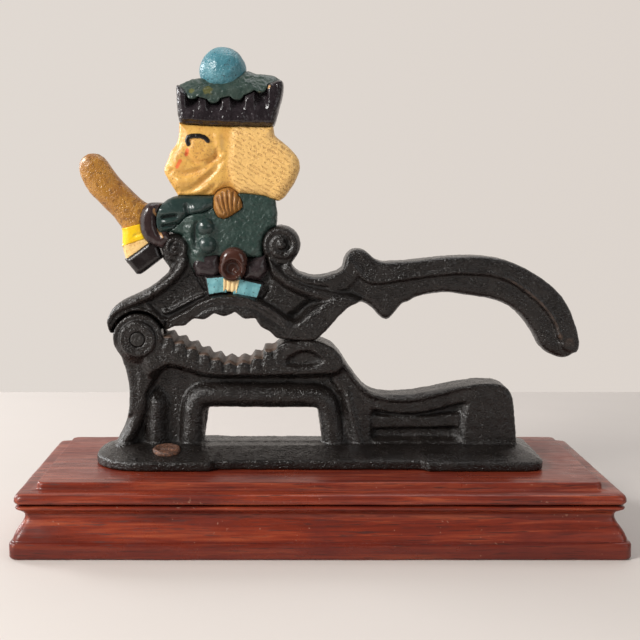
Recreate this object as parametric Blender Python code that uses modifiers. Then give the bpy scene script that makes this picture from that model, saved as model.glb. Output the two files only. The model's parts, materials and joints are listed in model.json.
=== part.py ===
"""A lever nutcracker with a soldier's half figure, cast in iron, on a moulded wooden plinth.

X runs along the plinth towards the handle, Y away from the front face and Z up. The origin is the centre
of the plinth's underside, and every size is in metres. The lever and the figure are built around the
hinge, so their outlines are measured from the pivot.
"""

import math

import bmesh
import bpy
from mathutils import Matrix, Vector

# Fits
FIT_GAP = 0.0003  # between pieces that touch
HOOD_GAP = 0.0006  # between the ears and what turns round them
OVERCUT = 0.00005  # how far a cutter passes a face that it would else only meet
STEP = 0.0002  # between two joined faces that would else lie in one plane

# Plinth
PLINTH_LENGTH = 0.280
PLINTH_WIDTH = 0.120
PLINTH_CORNER = 0.0030
LOWER_BOARD_HEIGHT = 0.0240
UPPER_BOARD_HEIGHT = 0.0086
MOULDING_DEPTH = 0.0054
FIELD_INSET = 0.0112

# Foot plate of the frame
FOOT_LENGTH = 0.215
FOOT_WIDTH = 0.059
FOOT_EDGE = 0.0043
FOOT_CROWN = 0.0046
FOOT_WAIST = 0.0040
FOOT_LEFT_RADIUS = 0.024
FOOT_RIGHT_RADIUS = 0.009
CROWN_WIDTH = 0.0205

# Foot screws
SCREW_HEAD_RADIUS = 0.0064
SCREW_SHANK_RADIUS = 0.0022
SCREW_LENGTH = 0.020
SCREW_HEAD_RISE = 0.0006
SCREW_CROWN = 0.7  # where its rounding starts, of the head's radius
SCREW_INSET = 0.035  # from the ends of the foot
SCREW_MARGIN = 0.0125  # from its long edges
SLOT_WIDTH = 0.0014
SLOT_DEPTH = 0.0012

# Hinge
PIVOT_INSET = 0.0212  # from the left end of the foot
PIVOT_HEIGHT = 0.0606  # over the underside of the foot
PIN_RADIUS = 0.0034
PIN_RISE = 0.0005
EAR_RADIUS = 0.0120
EAR_SPREAD = 0.0250
BOSS_RADIUS = 0.0092
BOSS_SPREAD = 0.0280
TONGUE_RADIUS = 0.0110
TONGUE_DEPTH = 0.0090

# Frame
FRAME_DEPTH = 0.0190
FRAME_WEB = 0.0090
JAW_DEPTH = 0.0260
BURIED = 0.0030  # how far a shape reaches into the one that it joins
WINDOW_START = 0.0305  # from the pivot
WINDOW_END = 0.0245  # past the handle end of the mouth
WINDOW_HEAD = 0.0348  # below the pivot
WINDOW_LEAN = 0.0028
WINDOW_LIP = 0.0046
REST_MARGIN = 0.0099  # from the right end of the foot to the rest
REST_HEIGHT = 0.0384  # over the underside of the foot
SADDLE_DIP = 0.0060
SHELF_DEPTH = 0.0152  # of the ledge in the rest's sunk field
SHELF_DROP = 0.0160
SHELF_HEIGHT = 0.0074
JAW_FIELD = 0.0030  # how deep the lens under the bump is sunk

# Mouth
MOUTH_START = 0.0120  # both measured from the pivot
MOUTH_END = 0.0650
TOOTH_HEIGHT = 0.0022
LOWER_TEETH = 9
UPPER_TEETH = 5
JAW_LINE = -0.0010  # where the jaws meet, from the pivot

# Lever
HOOD_THICKNESS = 0.0055
LEVER_WEB = 0.0120
HANDLE_LENGTH = 0.1150
HANDLE_WEB = 0.0125
HANDLE_RIB = 0.0180
NECK_DEPTH = 0.0200
BAND_DEPTH = 0.0245
LEFT_SCROLL_RADIUS = 0.0065
RIGHT_SCROLL_RADIUS = 0.0090
SCROLL_DEPTH = 0.0225
EYE_RISE = 0.0018

# Figure
WAIST_X = 0.0458  # the rivet at the waist, from the pivot
WAIST_Z = 0.0355
COAT_DEPTH = 0.0190
TAB_HALF_WIDTH = 0.0062  # of the coat's tab over the lever's web
TAB_DROP = 0.0045  # of the tab below the rivet
SLEEVE_DEPTH = 0.0215
CUFF_DEPTH = 0.0235
FIST_DEPTH = 0.0240
HEAD_DEPTH = 0.0220
HEAD_WIDTH = 0.0646
HEAD_HEIGHT = 0.0352
CAP_DEPTH = 0.0230
CAP_HEIGHT = 0.0165
CROWN_DEPTH = 0.0205
POMPOM_RADIUS = 0.0113
POMPOM_FLATNESS = 0.88  # of its depth to its width
BATON_DEPTH = 0.0140
BATON_LENGTH = 0.0600
BUTTON_RADIUS = 0.0036
BUTTON_RISE = 0.0016
BOSS_CUP_RADIUS = 0.0070
BOSS_CUP_RISE = 0.0036
BOSS_CUP_TAPER = 0.84
RIVET_RADIUS = 0.0016
RIVET_HEAD_RADIUS = 0.0036
RIVET_HEAD_RISE = 0.0014
RIVET_HEAD_TAPER = 0.7
TRIM_RISE = 0.0036  # how far belt and ribbon stand off the lever

# Places that follow from the sizes
FOOT_Z = LOWER_BOARD_HEIGHT + FIT_GAP + UPPER_BOARD_HEIGHT + FIT_GAP
CROWN_Z = FOOT_Z + FOOT_EDGE + FOOT_CROWN
PIVOT_X = PIVOT_INSET - FOOT_LENGTH / 2
PIVOT_Z = FOOT_Z + PIVOT_HEIGHT
REST_X = FOOT_LENGTH / 2 - REST_MARGIN
REST_Z = FOOT_Z + REST_HEIGHT
LEFT_SCROLL = (0.0180, 0.0438)  # from the pivot
RIGHT_SCROLL = (MOUTH_END + 0.0040, 0.0451)
WEB_TOP = WAIST_Z + 0.0035

CORNER = True
ROUND_SIDES = 32
REACH = 0.020  # half the length of a cutter that goes right through


def clear_scene():
    for obj in list(bpy.data.objects):
        bpy.data.objects.remove(obj)


def new_collection(name):
    collection = bpy.data.collections.new(name)
    bpy.context.scene.collection.children.link(collection)
    return collection


def new_material(name, colour, roughness, metallic=0.0):
    material = bpy.data.materials.new(name)
    material.use_nodes = True
    shader = material.node_tree.nodes["Principled BSDF"]
    shader.inputs["Base Color"].default_value = (*colour, 1.0)
    shader.inputs["Roughness"].default_value = roughness
    shader.inputs["Metallic"].default_value = metallic
    return material


clear_scene()
PARTS = new_collection("soldier_nutcracker")
CUTTERS = new_collection("cutters")
CUTTERS.hide_render = True


def new_empty(name, place):
    empty = bpy.data.objects.new(name, None)
    empty.location = place
    PARTS.objects.link(empty)
    return empty


BASE = new_empty("base_origin", (0, 0, 0))
HINGE = new_empty("lever_hinge_axis", (PIVOT_X, 0, PIVOT_Z))


# Shapes


def new_object(name, mesh, parent):
    """A mesh object under its parent's axis; it stays a helper until finish_piece shows it."""
    obj = bpy.data.objects.new(name, mesh)
    obj.parent = parent
    CUTTERS.objects.link(obj)
    obj.hide_render = True
    obj.display_type = "WIRE"
    return obj


def plate(name, outline, depth, parent, rim=0.0, grow=0.0, fineness=2, y=0.0):
    """An upright plate across Y from an outline of (x, z) or (x, z, CORNER), with softened rims."""
    curve = bpy.data.curves.new(name, "CURVE")
    curve.dimensions = "2D"
    curve.fill_mode = "BOTH"
    curve.extrude = depth / 2 - rim
    curve.bevel_depth = rim
    curve.bevel_resolution = 0
    curve.offset = grow - rim
    curve.resolution_u = fineness
    spline = curve.splines.new("BEZIER")
    spline.bezier_points.add(len(outline) - 1)
    for point, place in zip(spline.bezier_points, outline):
        point.co = (place[0], place[1], 0)
        handle = "VECTOR" if len(place) > 2 else "AUTO"
        point.handle_left_type = handle
        point.handle_right_type = handle
    spline.use_cyclic_u = True
    guide = bpy.data.objects.new(name + "_outline", curve)
    CUTTERS.objects.link(guide)
    shape = welded_shape(guide)
    shape.transform(Matrix.Translation((0, y, 0)) @ Matrix.Rotation(math.pi / 2, 4, "X"))
    return new_object(name, finished_mesh(name, shape), parent)


def welded_shape(guide):
    """The closed shape of a filled guide curve, which is then removed."""
    bpy.context.view_layer.update()
    graph = bpy.context.evaluated_depsgraph_get()
    mesh = bpy.data.meshes.new_from_object(guide.evaluated_get(graph))
    bpy.data.objects.remove(guide)
    shape = bmesh.new()
    shape.from_mesh(mesh)
    bpy.data.meshes.remove(mesh)
    bmesh.ops.remove_doubles(shape, verts=shape.verts, dist=0.00001)
    bmesh.ops.recalc_face_normals(shape, faces=shape.faces)
    return shape


def across(name, centre, radius, y_from, y_to, parent, sides=ROUND_SIDES, end_radius=None):
    """A round bar across Y, or a cone where end_radius is given, centred on (x, z)."""
    shape = bmesh.new()
    bmesh.ops.create_cone(
        shape,
        cap_ends=True,
        segments=sides,
        radius1=radius,
        radius2=radius if end_radius is None else end_radius,
        depth=abs(y_to - y_from),
    )
    turn = Matrix.Rotation(math.pi / 2 if y_to < y_from else -math.pi / 2, 4, "X")
    move = Matrix.Translation((centre[0], (y_from + y_to) / 2, centre[1]))
    shape.transform(move @ turn)
    return new_object(name, finished_mesh(name, shape), parent)


def block(name, low, high, parent):
    """A box between two corners."""
    shape = bmesh.new()
    bmesh.ops.create_cube(shape, size=1)
    size = Vector(high) - Vector(low)
    middle = (Vector(high) + Vector(low)) / 2
    shape.transform(Matrix.Translation(middle) @ Matrix.Diagonal((*size, 1)))
    return new_object(name, finished_mesh(name, shape), parent)


def turned(name, profile, parent, sides=24):
    """A solid turned about Z from (radius, height) points that run down its outer side."""
    mesh = bpy.data.meshes.new(name)
    points = [(radius, 0, height) for radius, height in profile]
    mesh.from_pydata(points, [(i, i + 1) for i in range(len(points) - 1)], [])
    obj = new_object(name, mesh, parent)
    screw = obj.modifiers.new("Turn", "SCREW")
    screw.steps = sides
    screw.render_steps = sides
    screw.use_merge_vertices = True
    screw.merge_threshold = 0.00005
    return obj


def stacked(name, ring, levels, parent):
    """A loft through rings of one outline of (x, y), drawn in by (x inset, y inset) at each height."""
    shape = bmesh.new()
    half_x = max(x for x, _ in ring)
    half_y = max(y for _, y in ring)
    rings = []
    for inset_x, inset_y, z in levels:
        wide = 1 - inset_x / half_x
        deep = 1 - inset_y / half_y
        rings.append([shape.verts.new((x * wide, y * deep, z)) for x, y in ring])
    shape.faces.new(rings[0][::-1])
    shape.faces.new(rings[-1])
    for lower, upper in zip(rings, rings[1:]):
        for i in range(len(ring)):
            shape.faces.new((lower[i - 1], lower[i], upper[i], upper[i - 1]))
    bmesh.ops.recalc_face_normals(shape, faces=shape.faces)
    return new_object(name, finished_mesh(name, shape), parent)


def finished_mesh(name, shape):
    mesh = bpy.data.meshes.new(name)
    shape.to_mesh(mesh)
    shape.free()
    return mesh


def boolean(obj, other, operation):
    modifier = obj.modifiers.new(other.name, "BOOLEAN")
    modifier.operation = operation
    modifier.solver = "EXACT"
    modifier.object = other


def join(obj, *others):
    for other in others:
        boolean(obj, other, "UNION")


def cut(obj, *others):
    for other in others:
        boolean(obj, other, "DIFFERENCE")


def finish_piece(obj, material):
    """Makes a built shape one of the object's own pieces."""
    CUTTERS.objects.unlink(obj)
    PARTS.objects.link(obj)
    obj.hide_render = False
    obj.display_type = "TEXTURED"
    obj.data.materials.append(material)
    obj.data.shade_smooth()
    obj.data.set_sharp_from_angle(angle=math.radians(32))
    return obj


def round_ends(obj, width, segments):
    bevel = obj.modifiers.new("Rounded ends", "BEVEL")
    bevel.width = width
    bevel.segments = segments
    bevel.limit_method = "ANGLE"


def arc(centre, radius, start, end, steps):
    """Points (x, z) on a round, between two angles in degrees."""
    points = []
    for step in range(steps + 1):
        angle = math.radians(start + (end - start) * step / steps)
        points.append((centre[0] + radius * math.cos(angle), centre[1] + radius * math.sin(angle)))
    return points


def toothed(path, height, count):
    """A saw-toothed outline along a bent path, with its teeth to the left of the way it runs."""
    lengths = [0.0]
    for before, after in zip(path, path[1:]):
        lengths.append(lengths[-1] + math.dist(before, after))
    outline = []
    for step in range(2 * count + 1):
        reach = lengths[-1] * step / (2 * count)
        piece = max(i for i in range(len(path) - 1) if lengths[i] <= reach + 1e-9)
        run = Vector(path[piece + 1]) - Vector(path[piece])
        place = Vector(path[piece]) + run.normalized() * (reach - lengths[piece])
        side = Vector((-run.y, run.x)).normalized()
        place += side * (height if step % 2 else 0.0)
        outline.append((place.x, place.y, CORNER))
    return outline


# Plinth


def rounded_rectangle(length, width, radius, steps=3):
    ring = []
    for turn, (side_x, side_y) in enumerate(((1, 1), (-1, 1), (-1, -1), (1, -1))):
        centre = (side_x * (length / 2 - radius), side_y * (width / 2 - radius))
        ring += arc(centre, radius, 90 * turn, 90 * turn + 90, steps)
    return ring


def build_plinth(wood):
    ring = rounded_rectangle(PLINTH_LENGTH, PLINTH_WIDTH, PLINTH_CORNER)
    # Shares of the moulding's depth and of the board's height
    lower_profile = (
        (0.0, 0.0),
        (0.0, 0.37),
        (0.45, 0.48),
        (0.88, 0.62),
        (1.0, 0.74),
        (0.90, 0.83),
        (0.62, 0.93),
        (0.52, 1.0),
    )
    levels = [
        (inset * MOULDING_DEPTH, inset * MOULDING_DEPTH, height * LOWER_BOARD_HEIGHT)
        for inset, height in lower_profile
    ]
    lower = stacked("plinth_bottom_board", ring, levels, BASE)
    nosing = 0.45 * MOULDING_DEPTH
    fillet = 0.0005
    upper_profile = (
        (nosing, 0.0),
        (0.9 * nosing, 0.25),
        (1.15 * nosing, 0.42),
        (1.8 * nosing, 0.56),
        (FIELD_INSET - fillet, 0.60),
        (FIELD_INSET, 0.68),
        (FIELD_INSET, 0.94),
        (FIELD_INSET + fillet, 1.0),
    )
    seam = LOWER_BOARD_HEIGHT + FIT_GAP
    levels = [(inset, inset, seam + height * UPPER_BOARD_HEIGHT) for inset, height in upper_profile]
    upper = stacked("plinth_top_board", ring, levels, BASE)
    for place in screw_places():
        cut(upper, screw_hole("upper_board", place))
        cut(lower, screw_hole("lower_board", place))
    finish_piece(lower, wood)
    finish_piece(upper, wood)


# Foot screws


def screw_places():
    """The front screw at the left of the foot, and the rear one opposite it."""
    x = FOOT_LENGTH / 2 - SCREW_INSET
    y = FOOT_WIDTH / 2 - SCREW_MARGIN
    return (("front", -x, -y), ("rear", x, y))


def crown_height(y):
    """The height of the foot's sloping top at a distance from its middle line."""
    half_crown = CROWN_WIDTH / 2
    share = (FOOT_WIDTH / 2 - abs(y)) / (FOOT_WIDTH / 2 - half_crown)
    return FOOT_Z + FOOT_EDGE + FOOT_CROWN * share


def screw_hole(name, place):
    side, x, y = place
    radius = SCREW_SHANK_RADIUS + FIT_GAP
    depth = SCREW_LENGTH + 2 * FIT_GAP
    profile = [(0, 0), (radius, 0), (radius, -depth), (0, -depth)]
    hole = turned(f"{name}_{side}_screw_hole", profile, BASE)
    hole.location = (x, y, crown_height(y))
    return hole


def build_screw(place, steel):
    side, x, y = place
    head = SCREW_HEAD_RADIUS
    shank = SCREW_SHANK_RADIUS
    sink = head - shank
    rise = SCREW_HEAD_RISE
    profile = [
        (0, rise),
        (SCREW_CROWN * head, 0.8 * rise),
        (head, 0),
        (shank, -sink),
        (shank, 2 * shank - SCREW_LENGTH),
        (0.5 * shank, -SCREW_LENGTH),
        (0, -SCREW_LENGTH),
    ]
    screw = turned(f"foot_screw_{side}", profile, BASE)
    screw.location = (x, y, crown_height(y))
    half = SLOT_WIDTH / 2
    slot = block(f"screw_slot_{side}", (-head, -half, rise - SLOT_DEPTH), (head, half, 2 * rise), BASE)
    slot.location = screw.location
    cut(screw, slot)
    finish_piece(screw, steel)


def countersink(place):
    """The clearance that the foot gives a screw head and its shank."""
    side, x, y = place
    head = SCREW_HEAD_RADIUS + FIT_GAP
    shank = SCREW_SHANK_RADIUS + FIT_GAP
    above = FOOT_CROWN
    below = FOOT_EDGE + FOOT_CROWN + FIT_GAP
    seat = SCREW_SHANK_RADIUS - SCREW_HEAD_RADIUS - FIT_GAP
    profile = [(0, above), (head, above), (head, -FIT_GAP / 2), (shank, seat)]
    profile += [(shank, -below), (0, -below)]
    hole = turned(f"foot_{side}_countersink", profile, BASE)
    hole.location = (x, y, crown_height(y))
    return hole


# Frame casting


def at_pivot(x, z):
    return (PIVOT_X + x, PIVOT_Z + z)


def at_mouth(x, z):
    """Measured from the handle end of the mouth, at the height of the pivot."""
    return (PIVOT_X + MOUTH_END + x, PIVOT_Z + z)


def at_rest(x, z):
    """Measured from the top right of the rest."""
    return (REST_X + x, REST_Z + z)


def lower_mouth():
    """The bottom of the mouth, from the hinge to the bump, as measured from the pivot."""
    reach = MOUTH_END - MOUTH_START
    shares = ((0, 0.0010), (0.20, -0.0037), (0.42, -0.0094), (0.58, -0.0125))
    shares += ((0.76, -0.0120), (0.89, -0.0092))
    path = [(MOUTH_START + share * reach, z) for share, z in shares]
    return path + [(MOUTH_END, -0.0052)]


def foot_ring():
    """The foot seen from above: round at the hinge end, and narrower along its middle."""
    half = FOOT_WIDTH / 2
    waist = half - FOOT_WAIST
    step = 0.0030
    left_end = -FOOT_LENGTH / 2
    waist_from = left_end + 0.0590
    waist_to = FOOT_LENGTH / 2 - 0.0585
    right_centre = FOOT_LENGTH / 2 - FOOT_RIGHT_RADIUS
    back = arc((right_centre, half - FOOT_RIGHT_RADIUS), FOOT_RIGHT_RADIUS, 0, 90, 4)
    back += [(waist_to + step, half), (waist_to, waist), (waist_from, waist), (waist_from - step, half)]
    back += arc((left_end + FOOT_LEFT_RADIUS, half - FOOT_LEFT_RADIUS), FOOT_LEFT_RADIUS, 90, 180, 7)
    return back + [(x, -y) for x, y in reversed(back)]


def build_foot():
    edge = 0.0007
    ridge = FOOT_WIDTH / 2 - CROWN_WIDTH / 2
    levels = (
        (0, 0, FOOT_Z),
        (0, 0, FOOT_Z + FOOT_EDGE - edge),
        (edge, edge, FOOT_Z + FOOT_EDGE),
        (REST_MARGIN + edge, ridge, CROWN_Z),
    )
    return stacked("frame_foot", foot_ring(), levels, BASE)


def corner(place):
    return (*place, CORNER)


def upright_outline():
    """The frame's wall: column, wall under the mouth, slope and rest."""
    buried = FOOT_Z + FOOT_EDGE / 2
    column = [
        (PIVOT_X - 0.0125, buried, CORNER),
        (PIVOT_X - 0.0118, CROWN_Z),
        (PIVOT_X - 0.0088, CROWN_Z + 0.0060),
        at_pivot(-0.0058, -0.0376),
        at_pivot(-0.0047, -0.0285),
        at_pivot(-0.0053, -0.0190),
        at_pivot(-0.0078, -0.0104),
        corner(at_pivot(-0.0092, -0.0060)),
    ]
    under_mouth = [
        corner(at_pivot(0, 0)),
        corner(at_pivot(MOUTH_START, -0.0030)),
        at_pivot(0.0220, -0.0090),
        at_pivot(0.0330, -0.0128),
        at_mouth(-0.0190, -0.0136),
        at_mouth(-0.0090, -0.0126),
        at_mouth(0.0050, -0.0055),
        at_mouth(0.0210, -0.0040),
        at_mouth(0.0300, -0.0055),
        at_mouth(0.0353, -0.0126),
        at_mouth(0.0402, -0.0196),
    ]
    rest = [
        (PIVOT_X + MOUTH_END + 0.0470, REST_Z - SADDLE_DIP + 0.0018),
        (PIVOT_X + MOUTH_END + 0.0590, REST_Z - SADDLE_DIP),
        at_rest(-0.0447, -0.0045),
        at_rest(-0.0275, -0.0012),
        at_rest(-0.0128, 0.0),
        at_rest(-0.0078, -0.0010),
        at_rest(-0.0048, -0.0032),
        at_rest(-0.0026, -0.0075),
        at_rest(-0.0014, -0.0170),
        (REST_X + 0.0004, buried, CORNER),
    ]
    return column + under_mouth + rest


def window_outline():
    """The opening through the frame; its foot lies inside the crown of the foot plate."""
    sill = CROWN_Z - BURIED
    left = PIVOT_X + WINDOW_START
    right = PIVOT_X + MOUTH_END + WINDOW_END
    head = PIVOT_Z - WINDOW_HEAD
    return [
        (left, sill, CORNER),
        (left + WINDOW_LEAN, head, CORNER),
        (right - WINDOW_LEAN, head, CORNER),
        (right, sill, CORNER),
    ]


def frame_pockets():
    """The sunk fields of the frame, as (name, outline, how deep they leave the wall)."""
    floor = CROWN_Z - BURIED
    under_jaw = [
        at_pivot(0.0058, -0.0240),
        corner(at_pivot(0.0110, -0.0145)),
        corner(at_mouth(0.0270, -0.0145)),
        at_mouth(0.0345, -0.0185),
        corner(at_mouth(0.0310, -0.0215)),
        corner(at_pivot(0.0250, -0.0208)),
        at_pivot(0.0106, -0.0250),
    ]
    leg_slot = [
        (PIVOT_X + 0.0095, floor, CORNER),
        corner(at_pivot(0.0095, -0.0275)),
        corner(at_pivot(0.0180, -0.0275)),
        (PIVOT_X + 0.0180, floor, CORNER),
    ]
    side_slot = [
        (PIVOT_X - 0.0022, floor, CORNER),
        corner(at_pivot(-0.0005, -0.0325)),
        corner(at_pivot(0.0046, -0.0325)),
        (PIVOT_X + 0.0046, floor, CORNER),
    ]
    right_slot = [
        (PIVOT_X + MOUTH_END + 0.0325, floor, CORNER),
        corner(at_mouth(0.0312, -0.0280)),
        corner(at_mouth(0.0362, -0.0270)),
        (PIVOT_X + MOUTH_END + 0.0372, floor, CORNER),
    ]
    rest_field = [
        (PIVOT_X + MOUTH_END + 0.0465, floor, CORNER),
        (PIVOT_X + MOUTH_END + 0.0456, REST_Z - 0.0105, CORNER),
        (PIVOT_X + MOUTH_END + 0.0600, REST_Z - 0.0140),
        at_rest(-0.0440, -0.0138),
        corner(at_rest(-0.0275, -0.0088)),
        (REST_X - 0.0311, floor, CORNER),
    ]
    return (
        ("under_jaw", under_jaw, FRAME_WEB),
        ("leg_slot", leg_slot, FRAME_WEB),
        ("side_slot", side_slot, FRAME_WEB),
        ("right_slot", right_slot, 0.5 * (FRAME_WEB + FRAME_DEPTH)),
        ("rest_field", rest_field, FRAME_WEB),
    )


def sink_both_faces(body, name, outline, left_depth, grow=0.0):
    """Cuts a field from the front and the back, and leaves a wall of the given depth."""
    for side, sign in (("front", -1), ("back", 1)):
        y = sign * (left_depth + REACH) / 2
        cut(body, plate(f"{name}_{side}", outline, REACH, BASE, grow=grow, y=y))


def lower_jaw_outline():
    bump = [
        (*at_mouth(0.0050, -0.0015), CORNER),
        at_mouth(0.0110, JAW_LINE - FIT_GAP / 2),
        at_mouth(0.0200, JAW_LINE - FIT_GAP / 2),
        at_mouth(0.0280, -0.0037),
        at_mouth(0.0310, -0.0067),
        corner(at_mouth(0.0330, -0.0105)),
        corner(at_mouth(0.0300, -0.0150)),
    ]
    under = [
        at_mouth(-0.0200, -0.0168),
        corner(at_pivot(0.0140, -0.0152)),
        corner(at_pivot(0.0040, -0.0108)),
        corner(at_pivot(0.0000, 0.0000)),
    ]
    path = [at_pivot(x, z) for x, z in lower_mouth()]
    return toothed(path, TOOTH_HEIGHT, LOWER_TEETH) + bump + under


def build_frame(iron):
    pivot = at_pivot(0, 0)
    frame = plate("frame_casting", upright_outline(), FRAME_DEPTH, BASE, rim=0.0016)
    for name, outline, left_depth in frame_pockets():
        sink_both_faces(frame, name, outline, left_depth)
    window = window_outline()
    cut(frame, plate("window", window, 2 * FRAME_DEPTH, BASE))
    sink_both_faces(frame, "window_lip", window, FRAME_WEB, grow=WINDOW_LIP)
    half_shelf = SHELF_DEPTH / 2
    shelf_low = (PIVOT_X + MOUTH_END + 0.0440, -half_shelf, REST_Z - SHELF_DROP - SHELF_HEIGHT)
    shelf_high = (REST_X - 0.0270, half_shelf, REST_Z - SHELF_DROP)
    join(frame, block("rest_shelf", shelf_low, shelf_high, BASE))
    join(frame, plate("lower_jaw", lower_jaw_outline(), JAW_DEPTH, BASE))
    lens = [
        corner(at_mouth(0.0040, -0.0128)),
        at_mouth(0.0090, -0.0075),
        at_mouth(0.0150, -0.0058),
        at_mouth(0.0210, -0.0085),
        corner(at_mouth(0.0250, -0.0128)),
    ]
    sink_both_faces(frame, "bump_field", lens, JAW_DEPTH - 2 * JAW_FIELD)
    join(frame, across("ears", pivot, EAR_RADIUS, -EAR_SPREAD / 2, EAR_SPREAD / 2, BASE))
    join(frame, across("bosses", pivot, BOSS_RADIUS, -BOSS_SPREAD / 2, BOSS_SPREAD / 2, BASE))
    half_slot = TONGUE_DEPTH / 2 + FIT_GAP
    cut(frame, across("tongue_slot", pivot, EAR_RADIUS + HOOD_GAP, -half_slot, half_slot, BASE))
    bore = PIN_RADIUS + FIT_GAP
    cut(frame, across("frame_pin_hole", pivot, bore, -BOSS_SPREAD, BOSS_SPREAD, BASE, 24))
    join(frame, build_foot())
    for place in screw_places():
        cut(frame, countersink(place))
    finish_piece(frame, iron)


def build_pin(steel):
    half = BOSS_SPREAD / 2 + PIN_RISE
    pin = across("pivot_pin", at_pivot(0, 0), PIN_RADIUS, -half, half, BASE, 24)
    round_ends(pin, PIN_RISE, 1)
    finish_piece(pin, steel)


# Lever casting, measured from the pivot


def upper_mouth():
    """The toothed roof of the mouth, from the bump to the hinge."""
    reach = MOUTH_END - MOUTH_START
    shares = ((0.975, 0.0034), (0.89, 0.0090), (0.79, 0.0111), (0.66, 0.0130), (0.52, 0.0128))
    shares += ((0.35, 0.0112), (0.18, 0.0084), (0.10, 0.0062))
    return [(MOUTH_START + share * reach, z) for share, z in shares]


def upper_jaw_outline():
    end = MOUTH_END
    start = [(end + 0.0016, 0.0004, CORNER)]
    ear_side = [
        (MOUTH_START + 0.0010, 0.0040, CORNER),
        (0.0090, 0.0050, CORNER),
        (0.0090, 0.0090, CORNER),
        (0.0137, 0.0095, CORNER),
    ]
    brow = [
        (0.0204, 0.0127),
        (0.0276, 0.0166),
        (0.0348, 0.0199),
        (0.0444, 0.0209),
        (end - 0.0110, 0.0194),
    ]
    cheek = [
        (end + 0.0010, 0.0155, CORNER),
        (end + 0.0100, 0.0225),
        (end + 0.0150, 0.0210),
        (end + 0.0260, 0.0170),
        (end + 0.0365, 0.0157, CORNER),
        (end + 0.0321, 0.0115),
        (end + 0.0217, 0.0003),
        (end + 0.0195, JAW_LINE + FIT_GAP / 2, CORNER),
        (end + 0.0097, JAW_LINE + FIT_GAP / 2, CORNER),
    ]
    return start + toothed(upper_mouth(), TOOTH_HEIGHT, UPPER_TEETH) + ear_side + brow + cheek


def polar(radius, angle):
    return (radius * math.cos(math.radians(angle)), radius * math.sin(math.radians(angle)))


def hood_points():
    """The outside of the hood, which thickens from its free end to the band."""
    shares = ((160, 0.50), (153, 0.72), (144, 0.90), (134, 1.04), (123, 1.17), (110, 1.26))
    room = EAR_RADIUS + HOOD_GAP
    return [polar(room + share * HOOD_THICKNESS, angle) for angle, share in shares]


def left_band_outline():
    """The hood over the ears, and the band that runs from it up to the left scroll."""
    inner = TONGUE_RADIUS - 0.0008
    end = [corner(polar(inner, 177)), corner(polar(EAR_RADIUS + HOOD_GAP + 0.0013, 168))]
    outside = [(-0.0030, 0.0200), (0.0048, 0.0239), (0.0125, 0.0298), (0.0153, 0.0335), (0.0135, 0.0362)]
    scroll = [(0.0118, 0.0400), (0.0240, 0.0430), (0.0243, 0.0370), (0.0222, 0.0322)]
    inside = [(0.0178, 0.0270), (0.0100, 0.0212), (0.0040, 0.0160), (0.0000, inner, CORNER)]
    return end + hood_points() + outside + scroll + inside + arc((0, 0), inner, 120, 160, 3)


def right_band_outline():
    """The band that runs from the right scroll down to the neck of the handle."""
    x = MOUTH_END
    low = [(x - 0.0045, 0.0420), (x - 0.0030, 0.0355), (x + 0.0020, 0.0300), (x + 0.0085, 0.0250)]
    low += [(x + 0.0226, 0.0172), (x + 0.0360, 0.0150, CORNER), (x + 0.0385, 0.0320, CORNER)]
    top = [(x + 0.0316, 0.0318), (x + 0.0277, 0.0307), (x + 0.0204, 0.0295), (x + 0.0155, 0.0305)]
    return low + top + [(x + 0.0105, 0.0330), (x + 0.0088, 0.0362), (x + 0.0110, 0.0400)]


def web_outline():
    """The thin field behind belt and ribbon, between the bands."""
    x = MOUTH_END
    return [
        (-0.0050, 0.0140, CORNER),
        (0.0060, 0.0205),
        (0.0180, 0.0290),
        (0.0240, WEB_TOP, CORNER),
        (x - 0.0035, WEB_TOP, CORNER),
        (x + 0.0050, 0.0300),
        (x + 0.0190, 0.0220),
        (x + 0.0330, 0.0180, CORNER),
        (x + 0.0320, 0.0130, CORNER),
        (x + 0.0210, 0.0030, CORNER),
        (x + 0.0070, 0.0030, CORNER),
        (x - 0.0030, 0.0110),
        (x - 0.0150, 0.0145),
        (0.0340, 0.0145),
        (0.0220, 0.0110),
        (0.0130, 0.0080, CORNER),
        (0.0000, 0.0080, CORNER),
    ]


def neck_outline():
    x = MOUTH_END + 0.0333
    top = [(x - 0.0060, 0.0300, CORNER), (x + 0.0004, 0.0335)]
    top += [(x + 0.0016, 0.0382), (x + 0.0042, 0.0418)]
    top += [(x + 0.0072, 0.0427), (x + 0.0110, 0.0418), (x + 0.0146, 0.0386), (x + 0.0182, 0.0368)]
    low = [(x + 0.0290, 0.0355, CORNER), (x + 0.0310, 0.0182, CORNER), (x + 0.0270, 0.0140)]
    low += [(x + 0.0246, 0.0108), (x + 0.0217, 0.0087), (x + 0.0184, 0.0104), (x + 0.0156, 0.0136)]
    low += [(x + 0.0122, 0.0163), (x + 0.0076, 0.0174), (x + 0.0018, 0.0147)]
    return top + low + [(x - 0.0060, 0.0130)]


def along_handle(shares, start=()):
    """Points of the handle: shares of its length from the neck, and heights; the start has corners."""
    neck = MOUTH_END + 0.0330
    corners = [(neck + share * HANDLE_LENGTH, z, CORNER) for share, z in start]
    return corners + [(neck + share * HANDLE_LENGTH, z) for share, z in shares]


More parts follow.
